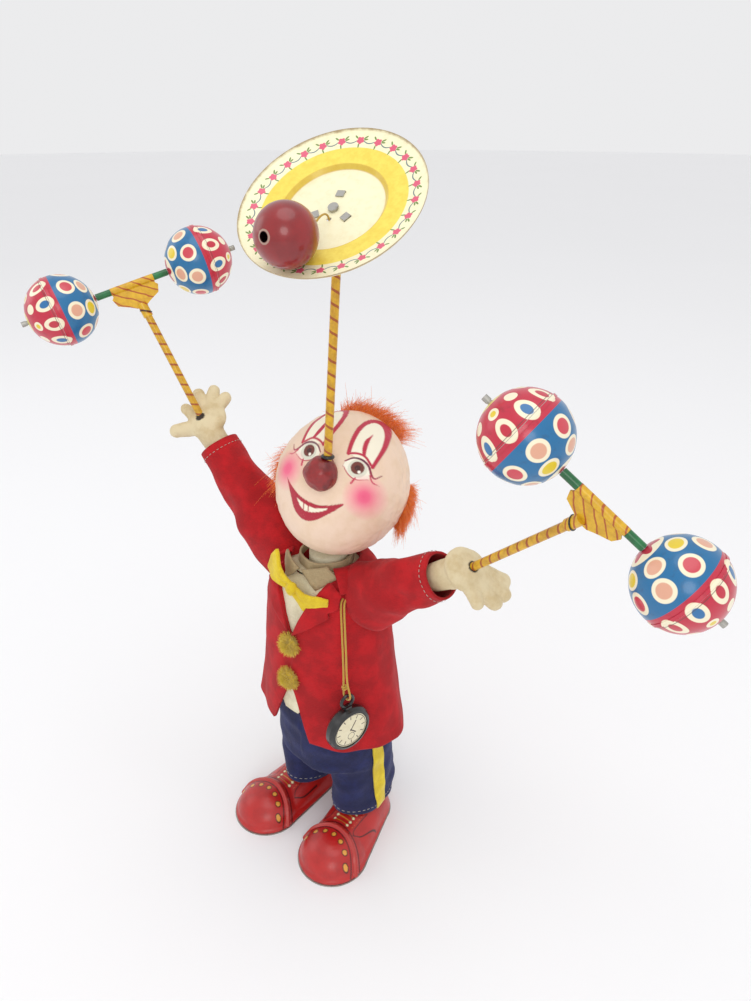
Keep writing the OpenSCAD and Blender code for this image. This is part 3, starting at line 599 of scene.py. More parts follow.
def paint_face(brush):
    def line(*points):
        return smooth_path([(s * x, y) for x, y in points])

    for s in (1, -1):
        brow, lid, under = (line(*part) for part in (BROW, LID, UNDER))
        brush.fill(brow, srgb(250, 243, 222), 0.85)
        brush.stroke(brow, 2.1, CRIMSON, (0.75, 0.6))
        brush.stroke(line((5.4, 11.2), (8.4, 12.4), (11.6, 12.3), (14.9, 9.8)), 0.9, CRIMSON)
        brush.stroke(line((9.9, 21.8), (9.6, 18.5), (10.2, 15.2), (11.0, 12.8)), 1.7, CRIMSON, (0.15, 0.7))
        white = np.concatenate([lid[:33], under[::-1]])
        brush.fill(white, srgb(250, 246, 228), 0.8)
        brush.disc((s * 10.7, 6.8), (3.6, 3.6), srgb(224, 224, 206))
        brush.disc((s * 10.6, 7.1), (2.5, 2.5), srgb(112, 48, 36))
        brush.disc((s * 10.6, 7.1), (1.1, 1.1), srgb(70, 24, 20))
        brush.disc((11.7 if s > 0 else -9.6, 5.8), (0.6, 0.6), srgb(255, 252, 240))
        brush.stroke(lid, 0.85, srgb(150, 30, 62), (0.6, 0.4))
        brush.stroke(lid[2:30], 0.45, srgb(66, 24, 60), (0.4, 0.4))
        brush.stroke(under, 0.45, CRIMSON, (0.6, 0.5))
        brush.stroke(line((15.8, 6.0), (17.6, 3.8), (20.2, 3.4)), 0.6, CRIMSON, (1, 0.3))
        brush.stroke(line((11.4, 3.2), (11.1, 1.9), (10.8, 0.6)), 0.9, CRIMSON, (0.5, 0.9))
        brush.disc((s * 16.8, -2.6), (5.0, 5.6), srgb(246, 120, 150), soft=6.5)
        brush.disc((s * 16.8, -2.6), (2.2, 2.4), srgb(240, 92, 132), soft=5)
    brush.fill(smooth_path(MOUTH, True), srgb(176, 26, 52))
    brush.fill(smooth_path(TEETH, True), srgb(246, 238, 214))
    for x, low in ((-4.6, -15.3), (-2.4, -15.4)):
        brush.stroke(smooth_path([(x, -13.2), (x + 0.2, -14.2), (x + 0.5, low)]), 0.45, srgb(176, 26, 52))


SKIN = painted("face_paint", srgb(240, 212, 188), rough=0.5, coat=0.12, wear=0.25, stain=srgb(230, 200, 168),
    speckle=0.12)
keep("head_paint", make_head(), "head", "composition", SKIN, ["head_shell"])

LACQUER_RED = lacquer("nose_lacquer", srgb(156, 26, 28), srgb(104, 18, 20), rough=0.38, coat=0.35)


def make_nose():
    form = bmesh.new()
    bmesh.ops.create_icosphere(form, subdivisions=6, radius=1)
    turn = Matrix((EAR, CROWN.cross(EAR).normalized() * -1, CROWN)).transposed()
    for corner in form.verts:
        p = corner.co.copy()
        dent = 0.07 * wobble(p, 0.55, 3) + 0.02 * wobble(p, 0.18, 5)
        wide = 1 - 0.13 * max(0, p.z)
        corner.co = NOSE + turn @ Vector((p.x * 7.1 * wide, p.y * 6.4, p.z * 7.0)) * (1 + dent) * MM
    return mesh_of(form, "nose_lump")


keep("nose_lump", make_nose(), "head", "nose_red", LACQUER_RED, ["nose"])


def make_ring(name, centre, direction, radius, tube, body, slot, finish, fine=32, stretch=1.0):
    """A round ring by spinning a small circle."""
    form = bmesh.new()
    bmesh.ops.create_circle(form, segments=12, radius=tube * MM,
                            matrix=Matrix.Translation((radius * MM, 0, 0))
                            @ Matrix.Rotation(math.pi / 2, 4, "X"))
    bmesh.ops.spin(form, geom=form.edges[:] + form.verts[:], cent=(0, 0, 0), axis=(0, 0, 1),
                   angle=math.tau, steps=fine, use_merge=True)
    form.transform(facing(direction, centre) @ Matrix.Diagonal((1, 1, stretch, 1)))
    return keep(name, mesh_of(form, name), body, slot, finish)


BLACK = lacquer("black_gloss", srgb(20, 19, 20), srgb(10, 10, 11), rough=0.3, coat=0.4)
STICK = axis("dish_stick_spin")
# painted shade: a black ring where the stick enters the nose, standing in for the dark gap of its hole
make_ring("nose_hole_shade_ring", pivot("dish_stick_spin") + 1.9 * MM * STICK, STICK, 1.95, 0.75,
          "head", "nose_red", BLACK)


# --- fur ------------------------------------------------------------------------------------
def fur_finish(name, colour, dark):
    finish = Finish(name, Roughness=0.75, Sheen_Weight=0.4)
    shade = finish.grain(1.6 * MM, 4, 0.6)
    finish.set("Base Color", finish.mix(finish.step(shade, 0.5, 0.16), dark, colour))
    finish.set("Normal", finish.bump(shade, 0.2 * MM, 0.5))
    return finish.material


HAIR = fur_finish("orange_fur", srgb(255, 146, 44), srgb(236, 108, 22))
FLUFF = fur_finish("olive_fluff", srgb(242, 218, 84), srgb(214, 186, 56))


def tuft(name, root, out, spread, length, count, body, slot, finish, seed, lean=Vector(), radius=0.11,
        replaced=()):
    """Fur standing off a round patch: each hair starts near the root and bends as it goes."""
    dice = random.Random(seed)
    frame_at = facing(out, root)
    paths = []
    for _ in range(count):
        r, turn = spread * math.sqrt(dice.random()), dice.random() * math.tau
        foot = Vector((r * math.cos(turn), r * math.sin(turn), -0.02 * r * r))
        way = Vector((foot.x * 0.55 / spread + dice.gauss(0, 0.28),
            foot.y * 0.55 / spread + dice.gauss(0, 0.28), 1))
        long = length * dice.uniform(0.55, 1.15) * (1.6 if dice.random() < 0.03 else 1)
        curl = Vector((dice.gauss(0, 0.25), dice.gauss(0, 0.25), -0.25))
        paths.append([frame_at @ ((foot + (way.normalized() * t + curl * t * t) * long) * MM)
                      + lean * (t * t * long * MM)
                      for t in (0, 0.35, 0.7, 1)])
    return threads(name, paths, radius * MM, body, slot, finish, replaced, tip=0.25)


def head_spot(direction, lift=0.0):
    d = direction.normalized()
    c = d.dot(CROWN)
    reach = 1 / math.sqrt((c / HEAD_C) ** 2 + (1 - c * c) / HEAD_A ** 2)
    return HEAD + d * (reach + lift) * MM


top = CROWN - 0.33 * FACE
tuft("crown_fur", head_spot(top, -0.5), top.normalized(), 13, 8.5, 2600, "head", "hair_orange", HAIR, 4,
     lean=0.35 * EAR, replaced=["hair"])
for s, side in ((1, "left"), (-1, "right")):
    out = s * EAR - 0.33 * FACE
    tuft(side + "_ear_fur", head_spot(out, -0.5), out.normalized(), 8.5, 7.6, 1600,
         "head", "hair_orange", HAIR, 7 + s, lean=-0.45 * CROWN, radius=0.1)

# --- dish, bead and stick -------------------------------------------------------------------
DISH = pivot("dish_spin")
UP = axis("dish_spin")


def dress(node, finish):
    """Give a carried-over part its finish."""
    part = bpy.data.objects[node]
    part.data.materials.clear()
    part.data.materials.append(finish)
    return part


def dish_print():
    finish = Finish("dish_print", Roughness=0.32, Coat_Weight=0.25, Coat_Roughness=0.15)
    radius, turn, _ = finish.polar(DISH, UP, (0, 0, 1))
    count = 26
    cell = (turn * count + 100.5).math("FRACT") - 0.5
    x = cell * (math.tau * 30 / count)
    y = radius - 29.4

    def dab(at_x, at_y, long, wide, tilt):
        cos, sin = math.cos(tilt), math.sin(tilt)
        a = ((x - at_x) * cos + (y - at_y) * sin) / long
        b = ((y - at_y) * cos - (x - at_x) * sin) / wide
        return 1 - finish.step((a * a + b * b) ** 0.5, 1, 0.12)

    petal = (y.math("ARCTAN2", x) * 5).math("SINE")
    rose = 1 - finish.step((x * x + y * y) ** 0.5 + petal * 0.18, 1.35, 0.1)
    leaves = dab(-1.9, 1.2, 0.95, 0.32, 2.4) | dab(-2.1, 0.4, 0.85, 0.3, 2.9) | dab(1.7, 1.3, 0.85, 0.3, 0.8)
    leaves = leaves | dab(0.3, -2.1, 0.95, 0.3, 1.4)
    far = (turn * count + 100).math("FRACT") - 0.5
    swag = 1 - finish.step(abs(y + 1.0 - far * far * 9), 0.2, 0.08)
    swag = swag * (1 - finish.step(abs(far), 0.3, 0.02))
    worn = finish.grain(3 * MM, 5, 0.65)
    cream = finish.mix(finish.step(worn, 0.6, 0.15) * 0.5, srgb(250, 244, 206), srgb(238, 226, 176))
    yellow = finish.mix(finish.step(worn, 0.5, 0.2), srgb(250, 228, 92), srgb(240, 212, 74))
    band = finish.step(radius, 18.3, 0.15) * (1 - finish.step(radius, 26.6, 0.15))
    colour = finish.mix(band, cream, yellow)
    # painted shade: a darker gold ring on the sloping wall between the cream well and the yellow band
    colour = finish.mix((1 - finish.step(abs(radius - 18.9), 0.8, 0.3)) * 0.5, colour, srgb(204, 160, 50))
    colour = finish.mix(swag, colour, srgb(86, 116, 124))
    colour = finish.mix(leaves, colour, srgb(112, 142, 62))
    colour = finish.mix(rose, colour, srgb(226, 92, 122))
    edge = finish.step(radius + worn * 0.9, 33.9, 0.25)
    colour = finish.mix(edge * 0.75, colour, srgb(150, 118, 74))
    finish.set("Base Color", colour)
    finish.set("Normal", finish.bump(worn, 0.08 * MM, 0.4))
    return finish.material


dress("dish", dish_print())


def spiral(name, origin, direction, pitch=5.0, wide=0.2):
    """Yellow enamel with a thin red-brown stripe wound round it."""
    finish = Finish(name, Roughness=0.34, Coat_Weight=0.25, Coat_Roughness=0.15)
    _, turn, along = finish.polar(origin, direction, (0.3, 0.9, 0.1))
    wander = finish.grain(5 * MM, 3) * 0.12
    phase = (turn + along / pitch + wander + 100).math("FRACT")
    stripe = 1 - finish.step(abs(phase - 0.5), wide / 2, 0.025)
    worn = finish.grain(2.5 * MM, 5, 0.65)
    ground = finish.mix(finish.step(worn, 0.5, 0.2), srgb(226, 178, 30), srgb(190, 140, 22))
    finish.set("Base Color", finish.mix(stripe * 0.85, ground, srgb(152, 48, 20)))
    finish.set("Normal", finish.bump(worn, 0.06 * MM, 0.4))
    return finish.material


dress("dish_stick", spiral("dish_stick_enamel", pivot("dish_stick_spin"), STICK))
STEEL = metal("plated_tin", (0.62, 0.61, 0.58, 1))
DULL = metal("dull_tin", (0.46, 0.45, 0.42, 1), rough=0.5)
BRASS = metal("clock_brass", (0.72, 0.52, 0.22, 1), rough=0.3, tarnish=(0.3, 0.2, 0.08, 1))
BLUED = metal("blued_spring", (0.16, 0.19, 0.28, 1), rough=0.32, tarnish=(0.1, 0.07, 0.05, 1))
dress("dish_fork", DULL)
dress("dish_bracket", DULL)

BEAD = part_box("red_bead")
BEAD = (Vector(BEAD[0]) + Vector(BEAD[1])) / 2
BORE = Vector((0.06, -0.98, 0.07)).normalized()


def bead_lacquer_and_hole_shade():
    finish = Finish("bead_lacquer_and_hole_shade", Roughness=0.3, Coat_Weight=0.5, Coat_Roughness=0.1)
    radius, _, _ = finish.polar(BEAD, BORE, (0, 0, 1))
    worn = finish.grain(1.2 * MM, 5, 0.7)
    cloud = finish.grain(7 * MM, 4)
    red = finish.mix(finish.step(cloud, 0.5, 0.2), srgb(124, 16, 20), srgb(146, 24, 28))
    rim = finish.step(radius, 1.75, 0.1) * (1 - finish.step(radius + worn * 0.7, 2.7, 0.15))
    colour = finish.mix(rim * 0.85, red, srgb(176, 150, 132))
    # painted shade: the bore of the hole is coloured near black for the shade inside it
    finish.set("Base Color", finish.mix(1 - finish.step(radius, 1.7, 0.08), colour, srgb(24, 8, 8)))
    finish.set("Normal", finish.bump(cloud, 0.1 * MM, 0.3))
    return finish.material


dress("red_bead", bead_lacquer_and_hole_shade())


# --- balls and wands ------------------------------------------------------------------------
BALL_R = 15.0
SEAM = 3.0
SEAM_R = 14.72


def ball_print(name, centre, out):
    """Litho print of one ball: crimson outside, blue inside, with rows of ringed spots about the axle."""
    finish = Finish(name, Roughness=0.3, Coat_Weight=0.35, Coat_Roughness=0.12)
    _, turn, along = finish.polar(centre, out, (0.2, 0.3, 0.9))
    climb = (((along / BALL_R) & 0.9999) | -0.9999).math("ARCSINE") * BALL_R
    worn = finish.grain(2.5 * MM, 5, 0.65)
    ground = finish.mix(finish.step(climb, 0, 0.1), BLUE, srgb(196, 34, 62))
    ground = finish.mix(finish.step(worn, 0.62, 0.12) * 0.25, ground, INK)

    def row(under, height, tall, wide, count, shift, first, second, core=0.52):
        whole = turn * count + (shift + 100)
        cell = whole.math("FRACT") - 0.5
        number = whole.math("FLOOR")
        odd = number.math("PINGPONG", 1)
        x = cell * (math.tau * BALL_R * math.cos(height / BALL_R) / count) / wide
        y = (climb - height) / tall
        d = (x * x + y * y) ** 0.5
        under = finish.mix(1 - finish.step(d, 1, 0.04), under, CREAM)
        return finish.mix(1 - finish.step(d, core, 0.05), under, finish.mix(odd, first, second))

    pink = srgb(226, 168, 140)
    yellow = srgb(230, 202, 44)
    pattern = row(ground, 5.6, 4.3, 2.9, 10, 0.0, srgb(36, 110, 168), srgb(196, 40, 62))
    pattern = row(pattern, 13.2, 2.2, 2.0, 8, 0.5, yellow, CREAM)
    pattern = finish.mix(finish.step(climb, 18.6, 0.1), pattern, srgb(230, 212, 110))
    pattern = row(pattern, -5.6, 3.7, 3.7, 8, 0.3, pink, srgb(206, 66, 80), 0.66)
    pattern = row(pattern, -12.9, 3.1, 3.6, 6, 0.0, yellow, pink, 0.7)
    star = (turn * (math.tau * 5)).math("COSINE")
    pattern = finish.mix(finish.step(climb * -1, 17.0, 0.1), pattern, CREAM)
    pattern = finish.mix(finish.step(star * 1.1 - climb, 19.2, 0.12), pattern, CRIMSON)
    line = 1 - finish.step(abs(climb - 3.9), 0.13, 0.07)
    finish.set("Base Color", finish.mix(line * 0.75, pattern, srgb(74, 62, 52)))
    finish.set("Roughness", worn * 0.12 + 0.24)
    finish.set("Normal", finish.bump(worn, 0.05 * MM, 0.4))
    return finish.material


BALL_REACH = 31.75 * MM
WANDS = {"right": ("front", "rear"), "left": ("near", "far")}
for side, ends in WANDS.items():
    middle = pivot("ball_%s_%s_spin" % (side, ends[0]))
    axle = axis("ball_%s_%s_spin" % (side, ends[0]))
    hand_at = pivot("wand_%s_spin" % side)
    for end in ends:
        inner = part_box("ball_%s_%s_inner" % (side, end))
        near = (Vector(inner[0]) + Vector(inner[1])) / 2
        out = axle if (near - middle).dot(axle) > 0 else -axle
        centre = middle + out * BALL_REACH
        ball_name = "ball_%s_%s" % (side, end)
        pattern = ball_print(ball_name + "_print", centre, out)
        dress(ball_name + "_inner", pattern)
        dress(ball_name + "_outer", pattern)
        make_ring(ball_name + "_seam", centre + SEAM * MM * out, out, SEAM_R, 0.16,
                  ball_name, "tin_crimson", DULL, fine=96)
    dress("stick_" + side, spiral("wand_enamel_" + side, hand_at, axis("wand_%s_spin" % side)))
    dress("axle_" + side, DULL)


def bracket_print(name, middle, along, across):
    """Yellow tin with slanting red-brown wood-grain lines."""
    finish = Finish(name, Roughness=0.34, Coat_Weight=0.2, Coat_Roughness=0.15)
    slant = finish.along(middle, (along * 0.75 + across * 0.95))
    wander = finish.grain(6 * MM, 3) * 2.4
    phase = ((slant + wander) / 4.2 + 100).math("FRACT")
    stripe = 1 - finish.step(abs(phase - 0.5), 0.09, 0.03)
    worn = finish.grain(2.5 * MM, 5, 0.65)
    ground = finish.mix(finish.step(worn, 0.5, 0.2), srgb(228, 182, 34), srgb(206, 156, 28))
    finish.set("Base Color", finish.mix(stripe * 0.85, ground, srgb(168, 58, 26)))
    finish.set("Normal", finish.bump(worn, 0.06 * MM, 0.4))
    return finish.material


GREEN = lacquer("green_tube", srgb(18, 118, 62), srgb(10, 92, 46), rough=0.32, coat=0.35)
for side, ends in WANDS.items():
    spin = "ball_%s_%s_spin" % (side, ends[0])
    up = axis("wand_%s_spin" % side)
    dress("bracket_" + side, bracket_print("bracket_print_" + side, pivot(spin), axis(spin), up))
    dress("spacers_" + side, GREEN)
    waist = pivot(spin) - 12.6 * MM * up
    make_ring("bracket_clip_" + side, waist, (up + 0.5 * axis(spin)).normalized(), 2.45, 0.28, "wand_" + side,
        "steel", BLACK)

# --- hands ----------------------------------------------------------------------------------
BONE = painted("hand_paint", srgb(222, 206, 168), rough=0.62, wear=0.3, grit=0.2, stain=srgb(196, 172, 124),
    speckle=0.3)


def make_hand(side, fingers, thumb, palm, open_to):
    """A moulded hand: a flat palm across the wand, a wrist into the cuff, and stub fingers."""
    at = pivot("wand_%s_spin" % side)
    up = (axis("wand_%s_spin" % side) + open_to * Vector((0.55, -0.69, 0.47))).normalized()
    wrist = (pivot("arm_%s_swing" % side) * 1.0 - at)
    wrist.y = -at.y
    wrist.normalize()
    across = up.cross(wrist).normalized()
    out = up.cross(across)
    base = at - 1.0 * MM * up
    form = bmesh.new()
    ball(form, base + palm[2] * MM * across, (palm[0], palm[1], 4.6), facing(up, Vector(), out))
    limb(form, base + 3 * MM * wrist, at + 17 * MM * wrist, 6.6, 5.6)
    for reach, sway, rise, thick_, thin in fingers:
        tip = base + (reach * out + sway * across + rise * up) * MM
        limb(form, base + (3 * out + sway * 0.45 * across) * MM, tip, thick_, thin)
    reach, sway, rise, thick_, thin = thumb
    limb(form, base + 2 * MM * wrist, base + (reach * out + sway * across + rise * up) * MM, thick_, thin)
    data = melted(form, "hand_cast_" + side, 0.55 * MM, 5)
    for corner in data.vertices:
        push = 0.35 * wobble(corner.co, 5 * MM, 2) + 0.12 * wobble(corner.co, 1.6 * MM, 6)
        corner.co += corner.normal * push * MM
    brush = Brush(data, at, out, up.cross(out))
    # painted shade: a dark disc where the wand passes through the hand, standing in for the shade inside the
    # hole
    brush.disc((0, 0), (2.3, 2.3), srgb(40, 30, 22))
    brush.finish()
    return keep("hand_cast_" + side, data, "arm_" + side, "composition", BONE, ["hand_" + side])


make_hand("right", [(12.0, -4.0, 1.5, 3.3, 2.6), (14.5, 4.5, 2.5, 3.6, 3.0), (12.0, 11.5, 2.0, 3.6, 2.9),
                    (5.0, 14.5, 1.0, 3.4, 2.8)], (4.0, -13.0, 0.5, 3.9, 3.3), (9.4, 9.6, 1.5), 1.3)
make_hand("left", [(16.0, 5.6, -1.5, 3.9, 3.2), (19.0, 0.6, -1.8, 4.2, 3.4), (18.0, -4.2, -1.5, 4.0, 3.3)],
          (7.5, 10.5, 0.5, 3.6, 2.8), (9.8, 8.8, 0.0), 0.0)

# --- shoes ----------------------------------------------------------------------------------
TIN_RED = painted("shoe_litho", srgb(188, 28, 24), rough=0.36, coat=0.3, wear=0.15, grit=0.06,
                  stain=srgb(160, 22, 20), speckle=0.15)
TOE = Vector((22.6, -25.7))
HEEL = Vector((17.5, 7.0))
SOLE_TOP = 0.62
# The bows of the toe cap share one middle, this far in front of the toe's own
BOW_BACK = 14.8


def make_shoe(side):
    s = 1 if side == "left" else -1

    def at(x, y, z):
        return mm(s * x, y, z)

    form = bmesh.new()
    for spots in (((TOE.x, TOE.y, 0.6, 16.4, 13.4), (TOE.x - 1.2, TOE.y + 9, 8, 9.0, 5.6)),
                  ((TOE.x - 1.0, TOE.y + 7, 0.6, 15.0, 11.2), (HEEL.x, HEEL.y - 1, 8.5, 11.2, 9.5),
                      (HEEL.x, HEEL.y, 3, 12.0, 2.0))):
        part = bmesh.new()
        for x, y, z, wide, tall in spots:
            ball(part, at(x, y, z), (wide, wide, tall), fine=40)
        bmesh.ops.convex_hull(part, input=part.verts)
        pour(form, part)
    rim = bmesh.new()
    for centre, wide in ((TOE, 17.2), (HEEL, 12.3)):
        bmesh.ops.create_cone(rim, cap_ends=True, segments=64,
                              radius1=wide * MM, radius2=wide * MM, depth=1.5 * MM,
                              matrix=Matrix.Translation(at(centre.x, centre.y, 1.4)))
    bmesh.ops.convex_hull(rim, input=rim.verts)
    pour(form, rim)
    bmesh.ops.delete(form, geom=[v for v in form.verts if not v.link_faces], context="VERTS")
    rough = melted(form, "shoe_rough", 0.6 * MM, 2)
    drop = landing(rough)
    ridge = []
    for i in range(25):
        angle = math.radians(-64 + 128 * i / 24)
        x = TOE.x + 21 * math.sin(angle)
        y = TOE.y - BOW_BACK + 20.5 * math.cos(angle)
        hit, _ = drop(at(x, y, 60), (0, 0, -1))
        if hit:
            ridge.append(hit)
    form = bmesh.new()
    form.from_mesh(rough)
    for a, b in zip(ridge, ridge[1:]):
        limb(form, a, b, 1.1, 1.1, fine=12)
    data = melted(form, "shoe_tin_" + side, 0.42 * MM, 3)
    low = bmesh.new()
    low.from_mesh(data)
    cut(low, mm(0, 0, SOLE_TOP), (0, 0, 1), clear_inner=True)
    low.to_mesh(data)
    low.free()
    data.polygons.foreach_set("use_smooth", [True] * len(data.polygons))
    brush = Brush(data, Vector(), (1, 0, 0), (0, 1, 0))
    paint_shoe(brush, s)
    brush.finish()
    return keep("shoe_tin_" + side, data, "figure", "tin_red", TIN_RED, ["shoe_" + side])


def paint_shoe(brush, s):
    def bow(reach, half, steps=13):
        return np.array([(s * (TOE.x + reach * math.sin(a)), TOE.y - BOW_BACK + reach * math.cos(a))
                         for a in np.linspace(-half, half, steps)])

    dark = srgb(60, 8, 10)
    gold = srgb(226, 158, 62)
    for reach in (18.6, 22.6):
        brush.stroke(bow(reach, 1.15, 25), 0.5, dark)
    brush.stroke(bow(20.6, 1.1, 25), 1.6, srgb(184, 48, 40))
    for angle in np.linspace(-0.95, 0.95, 7):
        spot = (s * (TOE.x + 16.0 * math.sin(angle)), TOE.y - BOW_BACK + 16.0 * math.cos(angle))
        brush.disc(spot, (1.45, 1.45), dark)
        brush.disc(spot, (1.05, 1.05), gold)
    lace_x = TOE.x - 2.6
    for i in range(4):
        y = TOE.y + 9.4 + 2.4 * i
        brush.stroke(np.array([(s * (lace_x - 4), y), (s * (lace_x + 4), y + 0.2)]), 0.55, srgb(206, 130, 44))
        for x in (-4, 4):
            brush.disc((s * (lace_x + x), y), (0.85, 0.85), dark)
            brush.disc((s * (lace_x + x), y), (0.7, 0.7), srgb(240, 226, 178))
    for edge in (-1, 1):
        quarter = [(lace_x + edge * 7.4, TOE.y + 21), (lace_x + edge * 7.6, TOE.y + 11),
                   (lace_x + edge * 9.4, TOE.y + 7.6), (lace_x + edge * 11.8, TOE.y + 12),
                   (lace_x + edge * 12.8, TOE.y + 21)]
        brush.stroke(smooth_path([(s * x, y) for x, y in quarter[2:]]), 0.45, dark)
        brush.stroke(smooth_path([(s * x, y) for x, y in quarter[:3]]), 0.35, dark)
        for i in range(7):
            y = TOE.y + 10 + 1.8 * i
            brush.stroke(np.array([(s * (lace_x + edge * 6.4), y), (s * (lace_x + edge * 6.4), y + 0.8)]),
                0.4, srgb(204, 84, 36))


for side in ("right", "left"):
    make_shoe(side)
dress("sole_plates", DULL)
dress("leg_tubes", DULL)

# --- trousers -------------------------------------------------------------------------------
NAVY = cloth("navy_velvet", srgb(30, 36, 82), srgb(17, 20, 52), 0.35, sheen=0.14, tint=(0.6, 0.65, 1, 1))


LEG_X, LEG_Y = 16.4, 4.6
HEM_Y, HEM_Z, HEM_SLOPE = -25, 17.2, 0.10
WAIST_Z = 76


def make_trousers():
    form = bmesh.new()
    for s in (-1, 1):
        for z, wide, deep in ((17, 13.2, 18.8), (30, 13.4, 19.0), (46, 13.2, 18.6)):
            ball(form, mm(s * LEG_X, LEG_Y, z), (wide, deep, 13), fine=40)
        bmesh.ops.create_cone(form, cap_ends=True, segments=48,
                              radius1=13.6 * MM, radius2=13.2 * MM, depth=44 * MM,
                              matrix=Matrix.Translation(mm(s * LEG_X, LEG_Y, 31))
                              @ Matrix.Diagonal((1, 1.42, 1, 1)))
    bmesh.ops.create_cone(form, cap_ends=True, segments=64,
                          radius1=29.6 * MM, radius2=29.6 * MM, depth=34 * MM,
                          matrix=Matrix.Translation(mm(0, 1.5, 61)) @ Matrix.Diagonal((1, 0.78, 1, 1)))
    data = melted(form, "trouser_rough", 0.9 * MM, 14)
    for corner in data.vertices:
        x, y, z = corner.co / MM
        turn = math.atan2(y - LEG_Y, abs(x) - LEG_X)
        fade = max(0.0, min(1.0, (62 - z) / 30))
        fold = 0.9 * math.sin(3 * turn + z * 0.12 + (2 if x > 0 else 0))
        fold += 0.7 * math.sin(5 * turn - z * 0.2 + 1)
        creep = 1.6 * wobble((x * 0.6, y * 0.6, z * 1.4), 9, 4 if x > 0 else 9)
        roll = 1.1 * math.exp(-((z - 21 - 2 * math.sin(turn)) / 4) ** 2)
        corner.co += corner.normal * (fold * fade * 0.55 + creep * 0.5 + roll * 0.5 - 0.4) * MM
    form = bmesh.new()
    form.from_mesh(data)
    cut(form, mm(0, HEM_Y, HEM_Z), (0, HEM_SLOPE, 1), clear_inner=True)
    cut(form, mm(0, 0, WAIST_Z), (0, 0, 1), clear_outer=True)
    data = mesh_of(form, "trouser_velvet")
    piece = keep("trouser_velvet", data, "figure", "navy_cloth", NAVY, ["trousers"])
    wall = piece.modifiers.new("thickness", "SOLIDIFY")
    wall.thickness = 0.8 * MM
    wall.offset = -1
    return data


trouser_data = make_trousers()
on_trousers = landing(trouser_data)
FELT = cloth("yellow_felt", srgb(226, 196, 26), srgb(196, 160, 14), 0.5, sheen=0.3)


def make_stripe(s):
    def place(y, z):
        hit, normal = on_trousers(mm(s * 70, y + 3.0 * (1 - (z - 15) / 60), z), (-s, 0, 0))
        return (hit + Vector((s, 0, 0)) * 0.25 * MM) if hit else mm(s * 29, y, z)

    form = patch([(-3.4, 15.5), (3.4, 15.5), (3.4, 73), (-3.4, 73)], place, cuts=5)
    name = "side_stripe_" + ("left" if s > 0 else "right")
    thick(form, name, 0.7 * MM, "figure", "crepe_yellow", FELT, rounded=False, offset=s)


for s in (-1, 1):
    make_stripe(s)

THREAD = cord_finish("white_thread", srgb(206, 200, 186))


def hem_stitches():
    dashes = []
    for s in (-1, 1):
        for i in range(44):
            turn = math.tau * i / 44
            path = []
            for t in (0, 0.5):
                a = turn + math.tau * t / 44
                way = Vector((math.cos(a), math.sin(a), 0))
                height = HEM_Z - HEM_SLOPE * (19 * math.sin(a) + LEG_Y - HEM_Y) + 2.6
                hit, normal = on_trousers(mm(s * LEG_X, LEG_Y, height) + way * 60 * MM, -way)
                if hit and (hit - mm(s * LEG_X, LEG_Y, height)).length < 26 * MM:
                    path.append(hit + way * 0.08 * MM)
            if len(path) == 2:
                dashes.append(path)
    threads("hem_stitches", dashes, 0.16 * MM, "figure", "navy_cloth", THREAD)


hem_stitches()

# --- coat -----------------------------------------------------------------------------------
RED = cloth("red_velveteen", srgb(178, 12, 22), srgb(142, 8, 16), 0.35, sheen=0.08, tint=(1, 0.5, 0.5, 1))
COAT = [(60, 40.0), (75, 37.4), (90, 35.2), (105, 33.2), (120, 31.8), (132, 30.4), (142, 27.8), (148.4, 23),
    (152.6, 17.2)]
COAT_RATIO = 0.76


def girth(z):
    """Half the coat's width at a height, in millimetres."""
    for (low, wide), (high, narrow) in zip(COAT, COAT[1:]):
        if z <= high:
            return wide + (narrow - wide) * (z - low) / (high - low)
    return COAT[-1][1]


def coat_point(turn, z, lift=0.0):
    """A place on the coat: turn from the front towards the figure's left, and height in millimetres."""
    a = girth(z) + lift
    low = max(0.0, min(1.0, (112 - z) / 45))
    folds = 1.5 * math.sin(4 * turn + 0.9) + 0.9 * math.sin(7 * turn + z * 0.04) + 0.5 * math.sin(11 * turn)
    drape = 1.3 * wobble((turn * 8, z * 0.16, 1.0), 2.2, 3)
    a += folds * low * 0.55 + drape * 0.55
    return mm(a * math.sin(turn), 1 - a * COAT_RATIO * math.cos(turn), z)


def make_coat():
    def aside(turn, z):
        return abs(girth(z) * math.sin(turn))

    @functools.cache
    def edge_top(turn):
        z = 152.6
        while z > 124.5 and abs(turn) < 1.2 and aside(turn, z) < 1.2 + 11.5 * (z - 124.5) / 27.5:
            z -= 0.4
        return z

    @functools.cache
    def edge_bottom(turn):
        z = 69.5 + 1.8 * math.cos(2 * turn + 0.6)
        while z < 95 and abs(turn) < 1.2 and aside(turn, z) < 2.0 + 10.5 * (95 - z) / 27:
            z += 0.4
        return z

    def place(u, v):
        turn = round(-math.pi + math.tau * u, 5)
        low, high = edge_bottom(turn), edge_top(turn)
        return coat_point(turn, low + (high - low) * v, 0.5 if turn > 0 else 0.0)

    form = sheet_grid(240, 90, place)
    return thick(form, "coat_velveteen", 1.2 * MM, "figure", "plush_red", RED, ["coat"], offset=-1,
        rounded=False)


make_coat()


def lapel(s):
    """Notched lapel lying on the chest, in millimetres across and up."""
    outline = [(1.4, 124.5), (9.5, 131), (17.2, 137.6), (16.4, 140.2), (19.6, 142), (18.4, 147.4),
        (13.2, 150.6), (9.0, 143.5), (5.2, 134.5)]
    return patch([(s * x, z) for x, z in outline],
                 lambda x, z: coat_point(math.asin(max(-1, min(1, x / girth(z)))), z, 1.4), cuts=3)


for s, side in ((1, "left"), (-1, "right")):
    thick(lapel(s), "lapel_" + side, 1.0 * MM, "figure", "plush_red", RED, offset=s, rounded=False)


